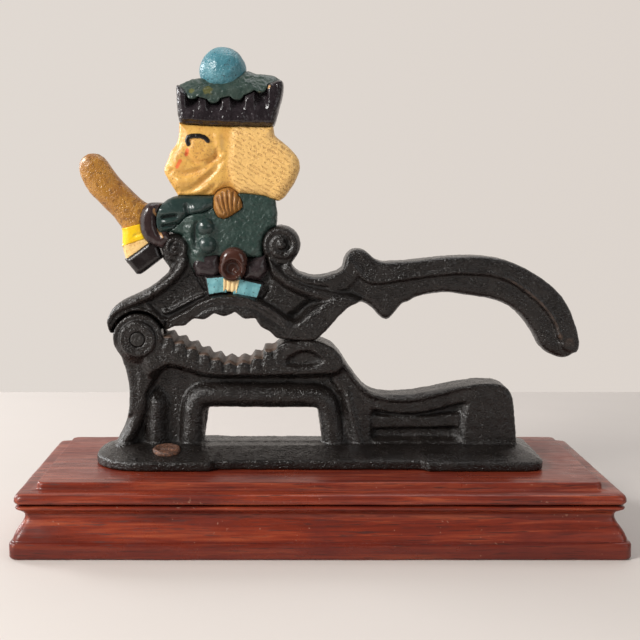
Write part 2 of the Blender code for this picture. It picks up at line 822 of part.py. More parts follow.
def handle_outline():
    back = ((0.18, 0.0364), (0.25, 0.0366), (0.40, 0.0385), (0.55, 0.0394), (0.62, 0.0388))
    bend = ((0.685, 0.0374), (0.75, 0.0345), (0.81, 0.0307), (0.876, 0.0254), (0.919, 0.0203))
    tip = ((0.954, 0.0141), (0.981, 0.0067), (1.0, -0.0017), (0.995, -0.0060), (0.972, -0.0090))
    tip += ((0.940, -0.0100), (0.900, -0.0088))
    belly = ((0.845, -0.0044), (0.823, 0.0006), (0.788, 0.0066), (0.745, 0.0122), (0.689, 0.0165))
    grip = ((0.62, 0.0191), (0.54, 0.0204), (0.46, 0.0218), (0.39, 0.0215), (0.31, 0.0193))
    grip += ((0.25, 0.0164),)
    return along_handle(back + bend + tip + belly + grip, ((0.20, 0.0200), (0.15, 0.0350)))


def handle_rib_outline():
    """The thick back of the handle, a hair inside its outline."""
    back = ((0.18, 0.0359), (0.25, 0.0361), (0.40, 0.0380), (0.55, 0.0389), (0.62, 0.0383))
    bend = ((0.685, 0.0369), (0.75, 0.0340), (0.81, 0.0302), (0.872, 0.0249), (0.914, 0.0198))
    end = ((0.949, 0.0139), (0.976, 0.0065), (0.992, -0.0020), (0.962, -0.0068))
    under = ((0.935, -0.0010), (0.905, 0.0065), (0.87, 0.0130), (0.82, 0.0188), (0.75, 0.0248))
    under += ((0.66, 0.0288), (0.55, 0.0304), (0.40, 0.0298), (0.25, 0.0278))
    return along_handle(back + bend + end + under, ((0.16, 0.0280), (0.15, 0.0345)))


def build_lever(iron):
    lever = plate("lever_casting", upper_jaw_outline(), JAW_DEPTH, HINGE)
    join(lever, plate("left_band", left_band_outline(), BAND_DEPTH, HINGE))
    join(lever, plate("right_band", right_band_outline(), BAND_DEPTH - 0.0010, HINGE, rim=0.0010))
    join(lever, plate("web", web_outline(), LEVER_WEB, HINGE))
    scrolls = (("left", LEFT_SCROLL, LEFT_SCROLL_RADIUS), ("right", RIGHT_SCROLL, RIGHT_SCROLL_RADIUS))
    for side, centre, radius in scrolls:
        half = SCROLL_DEPTH / 2
        join(lever, across(f"{side}_scroll", centre, radius, -half, half, HINGE, 28))
        half += EYE_RISE
        join(lever, across(f"{side}_scroll_eye", centre, 0.42 * radius, -half, half, HINGE, 16))
    join(lever, plate("neck", neck_outline(), NECK_DEPTH, HINGE, rim=0.0016))
    join(lever, plate("handle_web", handle_outline(), HANDLE_WEB, HINGE, rim=0.0015))
    join(lever, plate("handle_rib", handle_rib_outline(), HANDLE_RIB, HINGE, rim=0.0018))
    half = TONGUE_DEPTH / 2
    for side, sign in (("front", -1), ("back", 1)):
        room = EAR_RADIUS + HOOD_GAP
        near = sign * (half - STEP)
        cut(lever, across(f"ear_room_{side}", (0, 0), room, near, sign * JAW_DEPTH, HINGE, 48))
    join(lever, across("tongue", (0, 0), TONGUE_RADIUS, -half, half, HINGE))
    bore = PIN_RADIUS + FIT_GAP
    cut(lever, across("lever_pin_hole", (0, 0), bore, -JAW_DEPTH, JAW_DEPTH, HINGE, 24))
    bore = RIVET_RADIUS + FIT_GAP
    cut(lever, across("web_rivet_hole", at_waist(0, 0), bore, -REACH, REACH, HINGE, 16))
    finish_piece(lever, iron)


# Figure, measured from the pivot


def left_scroll_room(name):
    """A cutter that keeps a piece of the figure clear of the left scroll."""
    room = LEFT_SCROLL_RADIUS + FIT_GAP
    return across(f"{name}_left_room", LEFT_SCROLL, room, -REACH, REACH, HINGE, 28)


def right_scroll_room(name):
    room = RIGHT_SCROLL_RADIUS + FIT_GAP
    return across(f"{name}_right_room", RIGHT_SCROLL, room, -REACH, REACH, HINGE, 28)


def room_for(name, outline):
    """A cutter of a neighbour's outline, with the fit gap round it."""
    return plate(f"{name}_room", outline, 2 * REACH, HINGE, grow=FIT_GAP)


def at_waist(x, z):
    return (WAIST_X + x, WAIST_Z + z)


def coat_outline():
    """Shoulders at the top, the flank at the right, and a hem that sits on the lever's web."""
    hem = WEB_TOP + FIT_GAP
    return [
        corner(at_waist(-0.0259, 0.0328)),
        at_waist(-0.0100, 0.0333),
        at_waist(0.0060, 0.0338),
        at_waist(0.0186, 0.0322),
        corner(at_waist(0.0200, 0.0300)),
        at_waist(0.0209, 0.0245),
        corner(at_waist(0.0204, 0.0180)),
        corner(at_waist(0.0140, 0.0100)),
        (WAIST_X + 0.0140, hem, CORNER),
        (WAIST_X - 0.0190, hem, CORNER),
        at_waist(-0.0215, 0.0120),
        at_waist(-0.0290, 0.0155),
        corner(at_waist(-0.0340, 0.0170)),
        at_waist(-0.0345, 0.0250),
    ]


def sleeve_outline():
    return [
        at_waist(-0.0317, 0.0306),
        at_waist(-0.0255, 0.0330),
        corner(at_waist(-0.0060, 0.0340)),
        at_waist(-0.0080, 0.0285),
        at_waist(-0.0140, 0.0250),
        at_waist(-0.0212, 0.0234),
        at_waist(-0.0253, 0.0198),
        at_waist(-0.0302, 0.0160),
        corner(at_waist(-0.0350, 0.0140)),
        corner(at_waist(-0.0390, 0.0240)),
    ]


def cuff_outline():
    return [
        at_waist(-0.0411, 0.0287),
        at_waist(-0.0376, 0.0294),
        corner(at_waist(-0.0338, 0.0290)),
        at_waist(-0.0362, 0.0240),
        at_waist(-0.0362, 0.0180),
        corner(at_waist(-0.0329, 0.0127)),
        at_waist(-0.0368, 0.0101),
        at_waist(-0.0407, 0.0108),
        at_waist(-0.0431, 0.0137),
        at_waist(-0.0445, 0.0191),
        at_waist(-0.0439, 0.0239),
    ]


def fist_outline():
    return [
        at_waist(-0.0095, 0.0297),
        at_waist(-0.0085, 0.0335),
        at_waist(-0.0055, 0.0359),
        at_waist(-0.0017, 0.0364),
        at_waist(0.0017, 0.0345),
        at_waist(0.0041, 0.0311),
        at_waist(0.0046, 0.0273),
        at_waist(0.0021, 0.0253),
        at_waist(-0.0017, 0.0229),
        at_waist(-0.0056, 0.0220),
        at_waist(-0.0080, 0.0239),
    ]


def at_neck(share_x, share_z):
    """Shares of the head's width and height, from the chin's lower left."""
    return (WAIST_X - 0.0328 + share_x * HEAD_WIDTH, WAIST_Z + 0.0310 + share_z * HEAD_HEIGHT)


def head_outline():
    """A profile that looks towards the baton, with the hair swelling out behind."""
    return [
        corner(at_neck(0.117, 1.07)),
        at_neck(0.118, 0.94),
        at_neck(0.112, 0.84),
        at_neck(0.090, 0.73),
        at_neck(0.050, 0.63),
        at_neck(0.036, 0.55),
        at_neck(0.012, 0.46),
        at_neck(0.004, 0.39),
        at_neck(0.020, 0.31),
        at_neck(0.067, 0.17),
        corner(at_neck(0.104, 0.06)),
        at_neck(0.356, 0.06),
        at_neck(0.594, 0.08),
        at_neck(0.760, 0.04),
        at_neck(0.848, -0.01),
        at_neck(0.912, 0.10),
        at_neck(0.985, 0.335),
        at_neck(1.000, 0.460),
        at_neck(0.974, 0.590),
        at_neck(0.868, 0.778),
        at_neck(0.811, 0.868),
        corner(at_neck(0.808, 1.07)),
    ]


def at_brim(share_x, share_z):
    """Shares of the head's width and of the cap's height, from the lower left of the cap."""
    left, bottom = at_neck(0.093, 1.0)
    return (left + share_x * 0.792 * HEAD_WIDTH, bottom + share_z * CAP_HEIGHT)


def cap_band_outline():
    bottom = [corner(at_brim(0.039, 0.06)), at_brim(0.354, 0.00), corner(at_brim(0.902, -0.03))]
    right = [at_brim(0.963, 0.62), at_brim(0.992, 1.04), corner(at_brim(0.982, 1.27))]
    rim = [at_brim(0.90, 1.20), at_brim(0.758, 1.02), at_brim(0.635, 0.83), at_brim(0.477, 0.79)]
    rim += [at_brim(0.326, 0.71), at_brim(0.195, 0.80), at_brim(0.092, 0.92)]
    left = [corner(at_brim(0.012, 1.14)), at_brim(0.014, 0.76), at_brim(0.024, 0.30)]
    return bottom + right + rim + left


def cap_crown_outline():
    top = [corner(at_brim(0.016, 1.10)), at_brim(0.10, 1.25), at_brim(0.21, 1.33), at_brim(0.43, 1.46)]
    top += [at_brim(0.66, 1.54), at_brim(0.73, 1.46), at_brim(0.82, 1.43), at_brim(0.91, 1.38)]
    return top + [corner(at_brim(0.975, 1.25)), corner(at_brim(0.80, 0.70)), corner(at_brim(0.12, 0.62))]


def pompom_place():
    return at_brim(0.430, 1.56)


def at_cuff(share_x, share_z):
    """Shares of the baton's length, from the cuff that holds it."""
    return (WAIST_X - 0.0440 + share_x * BATON_LENGTH, WAIST_Z + 0.0195 + share_z * BATON_LENGTH)


def baton_sections():
    club = [
        at_cuff(-0.385, 0.558),
        at_cuff(-0.467, 0.530),
        at_cuff(-0.498, 0.437),
        at_cuff(-0.445, 0.290),
        at_cuff(-0.340, 0.167),
        at_cuff(-0.242, 0.070),
        corner(at_cuff(-0.157, -0.040)),
        corner(at_cuff(0.060, 0.015)),
        corner(at_cuff(0.050, 0.152)),
        at_cuff(-0.010, 0.192),
        at_cuff(-0.092, 0.267),
        at_cuff(-0.188, 0.363),
        at_cuff(-0.252, 0.453),
        at_cuff(-0.308, 0.527),
    ]
    yellow = [at_cuff(-0.157, -0.040), at_cuff(0.060, 0.015)]
    yellow += [at_cuff(0.060, -0.105), at_cuff(-0.157, -0.177)]
    cream = [at_cuff(-0.157, -0.177), at_cuff(0.060, -0.105)]
    cream += [at_cuff(0.065, -0.145), at_cuff(-0.130, -0.286)]
    ferrule = [at_cuff(-0.130, -0.286), at_cuff(0.065, -0.145), at_cuff(0.120, -0.150)]
    ferrule += [at_cuff(0.157, -0.270), at_cuff(-0.010, -0.397), at_cuff(-0.042, -0.397)]
    return (
        ("baton", club, "gold", 0.0036, BATON_DEPTH),
        ("baton_yellow_band", map(corner, yellow), "yellow", 0.0026, BATON_DEPTH + 0.0010),
        ("baton_cream_band", map(corner, cream), "cream", 0.0006, BATON_DEPTH + 0.0004),
        ("baton_ferrule", map(corner, ferrule), "black", 0.0010, BATON_DEPTH + 0.0020),
    )


def build_baton(paints):
    for name, outline, paint, rim, depth in baton_sections():
        piece = plate(name, list(outline), depth, HINGE, rim=rim, grow=-FIT_GAP / 2)
        cut(piece, room_for(f"{name}_cuff", cuff_outline()))
        cut(piece, left_scroll_room(name))
        finish_piece(piece, paints[paint])


def ball(name, centre, radius):
    shape = bmesh.new()
    bmesh.ops.create_uvsphere(shape, u_segments=18, v_segments=10, radius=radius)
    flatten = Matrix.Diagonal((1, POMPOM_FLATNESS, 1, 1))
    shape.transform(Matrix.Translation((centre[0], 0, centre[1])) @ flatten)
    return new_object(name, finished_mesh(name, shape), HINGE)


def button_places():
    return (("upper", at_waist(-0.0132, 0.0180)), ("lower", at_waist(-0.0124, 0.0096)))


def build_coat(paints):
    coat = plate("coat", coat_outline(), COAT_DEPTH, HINGE, rim=0.0010)
    tab_depth = COAT_DEPTH / 2 - STEP
    tab_low = (WAIST_X - TAB_HALF_WIDTH, -tab_depth, WAIST_Z - TAB_DROP)
    tab_high = (WAIST_X + TAB_HALF_WIDTH, tab_depth, WEB_TOP + BURIED)
    join(coat, block("coat_tab", tab_low, tab_high, HINGE))
    cut(coat, room_for("coat_sleeve", sleeve_outline()), room_for("coat_cuff", cuff_outline()))
    cut(coat, room_for("coat_fist", fist_outline()), room_for("coat_head", head_outline()))
    cut(coat, left_scroll_room("coat"), right_scroll_room("coat"))
    straddle = LEVER_WEB / 2 + FIT_GAP
    past = TAB_HALF_WIDTH + TAB_DROP
    slot_low = (WAIST_X - past, -straddle, WAIST_Z - past)
    slot_high = (WAIST_X + past, straddle, WEB_TOP + FIT_GAP + OVERCUT)
    cut(coat, block("coat_straddle", slot_low, slot_high, HINGE))
    reach = COAT_DEPTH
    bore = RIVET_RADIUS + FIT_GAP
    cut(coat, across("coat_rivet_hole", at_waist(0, 0), bore, -reach, reach, HINGE, 16))
    half_button = COAT_DEPTH / 2 + BUTTON_RISE
    for side, centre in button_places():
        room = across(f"button_{side}_hole", centre, BUTTON_RADIUS + FIT_GAP, -reach, reach, HINGE, 16)
        cut(coat, room)
        button = across(f"button_{side}", centre, BUTTON_RADIUS, -half_button, half_button, HINGE, 16)
        round_ends(button, 0.75 * BUTTON_RISE, 2)
        finish_piece(button, paints["green"])
    finish_piece(coat, paints["green"])


def build_arm(paints):
    sleeve = plate("sleeve", sleeve_outline(), SLEEVE_DEPTH, HINGE, rim=0.0018)
    cut(sleeve, room_for("sleeve_cuff", cuff_outline()), room_for("sleeve_head", head_outline()))
    cut(sleeve, room_for("sleeve_fist", fist_outline()), left_scroll_room("sleeve"))
    finish_piece(sleeve, paints["green"])
    cuff = plate("cuff", cuff_outline(), CUFF_DEPTH, HINGE, rim=0.0010)
    cut(cuff, left_scroll_room("cuff"))
    finish_piece(cuff, paints["brown"])
    finish_piece(plate("fist", fist_outline(), FIST_DEPTH, HINGE, rim=0.0026), paints["ochre_brown"])


def build_head(paints):
    head = plate("head", head_outline(), HEAD_DEPTH, HINGE, rim=0.0018)
    cut(head, room_for("head_cap", cap_band_outline()), room_for("head_fist", fist_outline()))
    finish_piece(head, paints["ochre"])
    band = plate("cap_band", cap_band_outline(), CAP_DEPTH, HINGE, rim=0.0008)
    for step in range(4):
        for side, sign in (("front", -1), ("back", 1)):
            x, low = at_brim(0.15 + 0.222 * step, 0.16)
            high = at_brim(0, 0.70)[1]
            y = sign * (CAP_DEPTH / 2 + 0.0018)
            profile = [(0, high), (0.0036, high), (0.0044, low), (0, low)]
            flute = turned(f"cap_flute_{side}_{step}", profile, HINGE, 16)
            flute.location = (x, y, 0)
            cut(band, flute)
    finish_piece(band, paints["black"])
    crown = plate("cap_crown", cap_crown_outline(), CROWN_DEPTH, HINGE, rim=0.0009)
    cut(crown, room_for("crown_band", cap_band_outline()))
    cut(crown, ball("crown_cup", pompom_place(), POMPOM_RADIUS + FIT_GAP))
    finish_piece(crown, paints["green"])
    finish_piece(ball("pompom", pompom_place(), POMPOM_RADIUS), paints["blue"])


def trim_pieces():
    belt_left = [(-0.0172, 0.0030), (-0.0083, 0.0032), (-0.0075, -0.0025)]
    belt_left += [(-0.0098, -0.0047), (-0.0163, -0.0040), (-0.0183, -0.0005)]
    belt_right = [(0.0070, -0.0002), (0.0142, 0.0023), (0.0150, -0.0025)]
    belt_right += [(0.0122, -0.0060), (0.0067, -0.0056)]
    ribbon_left = [(-0.0122, -0.0069), (-0.0044, -0.0063), (-0.0045, -0.0124), (-0.0111, -0.0136)]
    clasp = [(-0.0044, -0.0063), (0.0029, -0.0074), (0.0014, -0.0134), (-0.0045, -0.0124)]
    ribbon_right = [(0.0029, -0.0074), (0.0129, -0.0098), (0.0110, -0.0152), (0.0014, -0.0134)]
    return (
        ("belt_left", belt_left, "purple"),
        ("belt_right", belt_right, "purple"),
        ("ribbon_left", ribbon_left, "blue"),
        ("ribbon_clasp", clasp, "cream"),
        ("ribbon_right", ribbon_right, "blue"),
    )


def build_trim(paints):
    """Belt and ribbon pieces, each on the front and on the back of the lever's web."""
    seat = LEVER_WEB / 2 + FIT_GAP
    for name, shape, paint in trim_pieces():
        outline = [corner(at_waist(x, z)) for x, z in shape]
        for side, sign in (("front", -1), ("back", 1)):
            y = sign * (seat + TRIM_RISE / 2)
            piece = f"{name}_{side}"
            trim = plate(piece, outline, TRIM_RISE, HINGE, rim=0.0004, grow=-FIT_GAP / 2, y=y)
            finish_piece(trim, paints[paint])


def build_rivet(paints):
    """The rivet at the waist, through the coat's tab and the web, in a cup on each face."""
    seat = COAT_DEPTH / 2 + FIT_GAP
    waist = at_waist(0, 0)
    for side, sign in (("front", -1), ("back", 1)):
        near = sign * seat
        far = sign * (seat + BOSS_CUP_RISE)
        name = f"boss_cup_{side}"
        centre = at_waist(0.0003, 0.0020)
        lip = BOSS_CUP_TAPER * BOSS_CUP_RADIUS
        cup = across(name, centre, BOSS_CUP_RADIUS, near, far, HINGE, 24, lip)
        room = RIVET_HEAD_RADIUS + FIT_GAP
        cut(cup, across(f"{name}_bore", waist, room, 0, 2 * far, HINGE, 20))
        finish_piece(cup, paints["brown"])
    half = seat + STEP
    rivet = across("figure_rivet", waist, RIVET_RADIUS, -half, half, HINGE, 16)
    for side, sign in (("front", -1), ("back", 1)):
        near = sign * seat
        far = sign * (seat + RIVET_HEAD_RISE)
        crown = RIVET_HEAD_TAPER * RIVET_HEAD_RADIUS
        head = across(f"rivet_head_{side}", waist, RIVET_HEAD_RADIUS, near, far, HINGE, 20, crown)
        join(rivet, head)
    finish_piece(rivet, paints["steel"])


def build():
    iron = new_material("black_iron", (0.014, 0.013, 0.013), 0.55, 0.3)
    wood = new_material("red_wood", (0.16, 0.035, 0.018), 0.45)
    rust = new_material("rusty_steel", (0.19, 0.085, 0.045), 0.7, 0.5)
    steel = new_material("dark_steel", (0.05, 0.05, 0.052), 0.5, 0.8)
    colours = {
        "green": (0.020, 0.045, 0.042),
        "brown": (0.060, 0.035, 0.036),
        "ochre": (0.62, 0.36, 0.12),
        "ochre_brown": (0.42, 0.22, 0.07),
        "gold": (0.38, 0.22, 0.06),
        "yellow": (0.85, 0.55, 0.03),
        "cream": (0.80, 0.62, 0.36),
        "black": (0.013, 0.012, 0.014),
        "blue": (0.07, 0.25, 0.32),
        "purple": (0.07, 0.06, 0.075),
    }
    paints = {name: new_material(f"{name}_paint", colour, 0.45) for name, colour in colours.items()}
    paints["steel"] = steel
    build_plinth(wood)
    build_frame(iron)
    for place in screw_places():
        build_screw(place, rust)
    build_pin(steel)
    build_lever(iron)
    build_coat(paints)
    build_arm(paints)
    build_head(paints)
    build_baton(paints)
    build_trim(paints)
    build_rivet(paints)


build()
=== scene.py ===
import json
import math

import bmesh
import bpy
import numpy as np
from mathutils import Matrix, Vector, noise
from mathutils.geometry import delaunay_2d_cdt
from mathutils.kdtree import KDTree


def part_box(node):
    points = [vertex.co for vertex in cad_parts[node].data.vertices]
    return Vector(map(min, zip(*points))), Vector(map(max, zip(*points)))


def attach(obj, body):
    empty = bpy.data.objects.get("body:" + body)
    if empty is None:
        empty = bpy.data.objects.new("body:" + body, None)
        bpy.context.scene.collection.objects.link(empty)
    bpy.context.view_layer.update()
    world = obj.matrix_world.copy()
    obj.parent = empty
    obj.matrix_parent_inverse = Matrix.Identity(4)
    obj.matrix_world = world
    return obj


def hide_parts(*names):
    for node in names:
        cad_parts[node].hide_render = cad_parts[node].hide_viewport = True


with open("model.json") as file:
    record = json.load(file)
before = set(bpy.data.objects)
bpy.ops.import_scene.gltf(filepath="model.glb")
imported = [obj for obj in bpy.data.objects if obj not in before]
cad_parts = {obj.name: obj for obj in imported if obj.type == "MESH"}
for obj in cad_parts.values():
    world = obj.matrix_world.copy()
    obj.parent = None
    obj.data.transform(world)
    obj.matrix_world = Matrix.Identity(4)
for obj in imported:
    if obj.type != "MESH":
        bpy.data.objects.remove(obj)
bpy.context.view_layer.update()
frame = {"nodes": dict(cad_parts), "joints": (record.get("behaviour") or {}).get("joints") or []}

MM = 0.001
PIVOT = Vector(frame["joints"][0]["pos_m"])
SCREW_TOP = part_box("foot_screw_front")[1].z


# Outlines, in millimetres of (x, z) from the pivot


def chained(edges):
    """The closed loops that a set of edges makes, as lists of points."""
    links = {}
    for a, b in edges:
        links.setdefault(a, []).append(b)
        links.setdefault(b, []).append(a)
    loops = []
    while links:
        start = next(iter(links))
        loop = [start]
        while True:
            ahead = links[loop[-1]]
            if not ahead:
                break
            step = ahead.pop()
            links[step].remove(loop[-1])
            if step == start:
                break
            loop.append(step)
        loops.append(loop)
        links = {point: ends for point, ends in links.items() if ends}
    return [loop for loop in loops if len(loop) > 2]


def cad_shape(node):
    """The mesh of a CAD solid, with its corners joined."""
    shape = bmesh.new()
    shape.from_mesh(frame["nodes"][node].data)
    bmesh.ops.remove_doubles(shape, verts=shape.verts, dist=1e-6)
    return shape


def cut_at(shape, place, facing, **sides):
    """Cuts a shape by a plane and clears the sides that are named."""
    parts = shape.verts[:] + shape.edges[:] + shape.faces[:]
    return bmesh.ops.bisect_plane(shape, geom=parts, plane_co=place, plane_no=facing, **sides)


def section(node, y=0.0):
    """The outlines, as (x, z), in which an upright plane cuts a CAD solid."""
    shape = cad_shape(node)
    cut_at(shape, (0, y, 0), (0, 1, 0), clear_inner=True, clear_outer=True)
    shape.verts.index_update()
    loops = chained([(edge.verts[0].index, edge.verts[1].index) for edge in shape.edges])
    places = [(vert.co - PIVOT) / MM for vert in shape.verts]
    flat = np.array([(place.x, place.z) for place in places])
    shape.free()
    return [flat[loop] for loop in loops]


def widest(loops):
    return max(loops, key=lambda loop: np.ptp(loop[:, 0]) * np.ptp(loop[:, 1]))


def softened(loop, rounds=2, keep=50):
    """Cuts the corners of a loop again and again, but for those that turn by more degrees than keep."""
    for _ in range(rounds):
        before = loop - np.roll(loop, 1, axis=0)
        after = np.roll(loop, -1, axis=0) - loop
        turn = np.arctan2(cross(before, after), (before * after).sum(axis=1))
        points = []
        for i, place in enumerate(loop):
            if abs(math.degrees(turn[i])) > keep:
                points.append(place)
            else:
                points.append(place - 0.25 * before[i])
                points.append(place + 0.25 * after[i])
        loop = np.array(points)
    return loop


def cross(a, b):
    return a[..., 0] * b[..., 1] - a[..., 1] * b[..., 0]


def spaced(loop, step, closed=True):
    """The loop with extra points, so that none are further apart than a step."""
    points = []
    count = len(loop)
    for i in range(count if closed else count - 1):
        run = loop[(i + 1) % count] - loop[i]
        pieces = max(1, math.ceil(np.hypot(*run) / step))
        points += [loop[i] + run * k / pieces for k in range(pieces)]
    if not closed:
        points.append(loop[-1])
    return np.array(points)


def curve(points, step=0.8):
    """A smooth path through some points."""
    knots = np.array(points, float)
    knots = np.vstack([2 * knots[0] - knots[1], knots, 2 * knots[-1] - knots[-2]])
    path = []
    for p0, p1, p2, p3 in zip(knots, knots[1:], knots[2:], knots[3:]):
        for t in np.linspace(0, 1, max(2, math.ceil(np.hypot(*(p2 - p1)) / step)), endpoint=False):
            bend = (2 * p0 - 5 * p1 + 4 * p2 - p3) * t + (3 * p1 - p0 - 3 * p2 + p3) * t * t
            path.append(p1 + 0.5 * t * (p2 - p0 + bend))
    path.append(knots[-2])
    return np.array(path)


def grown(loop, amount):
    """The loop moved outwards by some millimetres."""
    turned = np.sign(cross(loop, np.roll(loop, -1, axis=0)).sum())
    run = np.roll(loop, -1, axis=0) - loop
    side = turned * np.stack([run[:, 1], -run[:, 0]], axis=1)
    side /= np.maximum(np.hypot(*side.T), 1e-9)[:, None]
    both = side + np.roll(side, 1, axis=0)
    return loop + 2 * amount * both / np.maximum((both * both).sum(axis=1), 1.0)[:, None]


def closed(loop):
    return np.vstack([loop, loop[:1]])


def turned_about(centre, radius, angle):
    return np.stack([centre[0] + radius * np.cos(angle), centre[1] + radius * np.sin(angle)], axis=1)


def circle(centre, radius, count=48):
    return turned_about(centre, radius, np.linspace(0, 2 * math.pi, count, endpoint=False))


def spiral(centre, radius_from, radius_to, angle_from, angle_to, count=60):
    angle = np.radians(np.linspace(angle_from, angle_to, count))
    return turned_about(centre, np.linspace(radius_from, radius_to, count), angle)


def within(points, loop):
    """Which points lie inside a loop."""
    inside = np.zeros(len(points), bool)
    for a, b in zip(loop, np.roll(loop, -1, axis=0)):
        crosses = (a[1] > points[:, 1]) != (b[1] > points[:, 1])
        rise = b[1] - a[1] if b[1] != a[1] else 1.0
        reach = a[0] + (points[:, 1] - a[1]) * (b[0] - a[0]) / rise
        inside ^= crosses & (points[:, 0] < reach)
    return inside


def apart(points, path):
    """How far each point is from an open path."""
    nearest = np.full(len(points), 1e9)
    for a, b in zip(path, path[1:]):
        run = b - a
        share = np.clip(((points - a) @ run) / max(run @ run, 1e-12), 0, 1)
        gap = points - a - share[:, None] * run
        nearest = np.minimum(nearest, np.hypot(gap[:, 0], gap[:, 1]))
    return nearest


# Relief: how deep a casting stands on each side of its middle plane

CASTING_GROWTH = 0.15  # millimetres that smoothing takes off again


def eased(value, low, high):
    share = np.clip((value - low) / (high - low), 0, 1)
    return share * share * (3 - 2 * share)


def blended(a, b, width=0.8):
    """The larger of two depths, with a fillet between them."""
    near = np.maximum(width - np.abs(a - b), 0) / width
    return np.maximum(a, b) + near * near * width / 4


class Relief:
    """The depth of a casting over the points of its outline, in millimetres."""

    def __init__(self, points, edge, depth):
        self.points = points
        self.edge = edge
        self.depth = np.full(len(points), float(depth))

    def field(self, outline, depth, slope=1.2, share=1.0):
        """Brings the inside of an outline to a depth, with sloped sides."""
        loop = softened(np.array(outline, float), rounds=2, keep=75)
        gap = apart(self.points, closed(loop))
        inward = np.where(within(self.points, loop), gap, -gap)
        amount = share * eased(inward, -slope / 2, slope / 2)
        self.depth += (depth - self.depth) * amount

    def gap_to(self, path):
        """How far the points are from a path; a tuple of places stands for a smooth one."""
        return apart(self.points, curve(path) if isinstance(path, tuple) else path)

    def rib(self, path, half_width, top, foot=3.0, fillet=1.2):
        """A half-round rib along a path."""
        share = self.gap_to(path) / half_width
        round_top = foot + (top - foot) * np.sqrt(np.clip(1 - share * share, 0, 1))
        round_top = np.where(share < 1, round_top, 0.0)
        self.depth = blended(self.depth, round_top, fillet)

    def swell(self, path, half_width, rise):
        """A soft rise or, below nought, a soft hollow along a path."""
        share = np.clip(self.gap_to(path) / half_width, 0, 1)
        self.depth += rise * (1 - share * share) ** 2

    def groove(self, path, half_width, drop):
        self.swell(path, half_width, -drop)

    def pillow(self, low, high, reach):
        """A depth that rises in a quarter round, over its reach from the edge of the outline."""
        share = np.clip(self.edge / reach, 0, 1)
        return low + (high - low) * np.sqrt(1 - (1 - share) ** 2)

    def boss(self, centre, radius, top, slope=0.8):
        away = np.hypot(*(self.points - np.array(centre)).T)
        self.depth += (top - self.depth) * (1 - eased(away, radius - slope, radius))

    def rim(self, radius):
        """Rounds the edge of the outline."""
        share = np.clip(self.edge / radius, 0, 1)
        self.depth -= radius * (1 - np.sqrt(1 - (1 - share) ** 2))


# Meshes


def to_row(x, y, z):
    """From millimetres at the pivot to metres in the row frame."""
    return np.stack([PIVOT.x + MM * x, MM * y, PIVOT.z + MM * z], axis=1)


def filled(loops, holes=(), cell=0.55):
    """Triangles over the union of some outlines, less the holes, with a point for each cell."""
    loops = [spaced(loop, 0.9 * cell) for loop in loops]
    holes = [spaced(loop, 0.9 * cell) for loop in holes]
    lines = loops + holes
    low = np.min([loop.min(axis=0) for loop in loops], axis=0)
    high = np.max([loop.max(axis=0) for loop in loops], axis=0)
    across, up = np.arange(low[0], high[0], cell), np.arange(low[1], high[1], 0.87 * cell)
    columns, rows = np.meshgrid(across, up)
    columns = columns + 0.5 * cell * (np.arange(len(rows)) % 2)[:, None]
    grid = np.stack([columns.ravel(), rows.ravel()], axis=1)
    grid = grid[covered(grid, loops, holes)]
    grid = grid[nearest_to(np.vstack(lines), grid) > 0.5 * cell]
    edges = []
    start = len(grid)
    for loop in lines:
        count = len(loop)
        edges += [(start + i, start + (i + 1) % count) for i in range(count)]
        start += count
    places = [Vector(place) for place in np.vstack([grid] + lines)]
    points, _, faces, _, _, _ = delaunay_2d_cdt(places, edges, [], 0, 1e-5)
    points = np.array([tuple(point) for point in points])
    faces = np.array([tuple(face) for face in faces if len(face) == 3])
    faces = faces[covered(points[faces].mean(axis=1), loops, holes)]
    first, second, third = points[faces].transpose(1, 0, 2)
    turn = cross(second - first, third - first)
    faces[turn < 0] = faces[turn < 0][:, ::-1]
    faces = faces[np.abs(turn) > 1e-7]
    used, renumbered = np.unique(faces, return_inverse=True)
    return points[used], renumbered.reshape(faces.shape)


def covered(points, loops, holes):
    inside = np.zeros(len(points), bool)
    for loop in loops:
        inside |= within(points, loop)
    for loop in holes:
        inside &= ~within(points, loop)
    return inside


def nearest_to(targets, points):
    tree = KDTree(len(targets))
    for i, place in enumerate(targets):
        tree.insert((place[0], place[1], 0), i)
    tree.balance()
    return np.array([tree.find((x, z, 0))[2] for x, z in points])


def rim_edges(faces):
    """The directed edges that only one triangle has."""
    sides = np.vstack([faces[:, [0, 1]], faces[:, [1, 2]], faces[:, [2, 0]]])
    have = {tuple(side) for side in sides.tolist()}
    return [side for side in have if (side[1], side[0]) not in have]


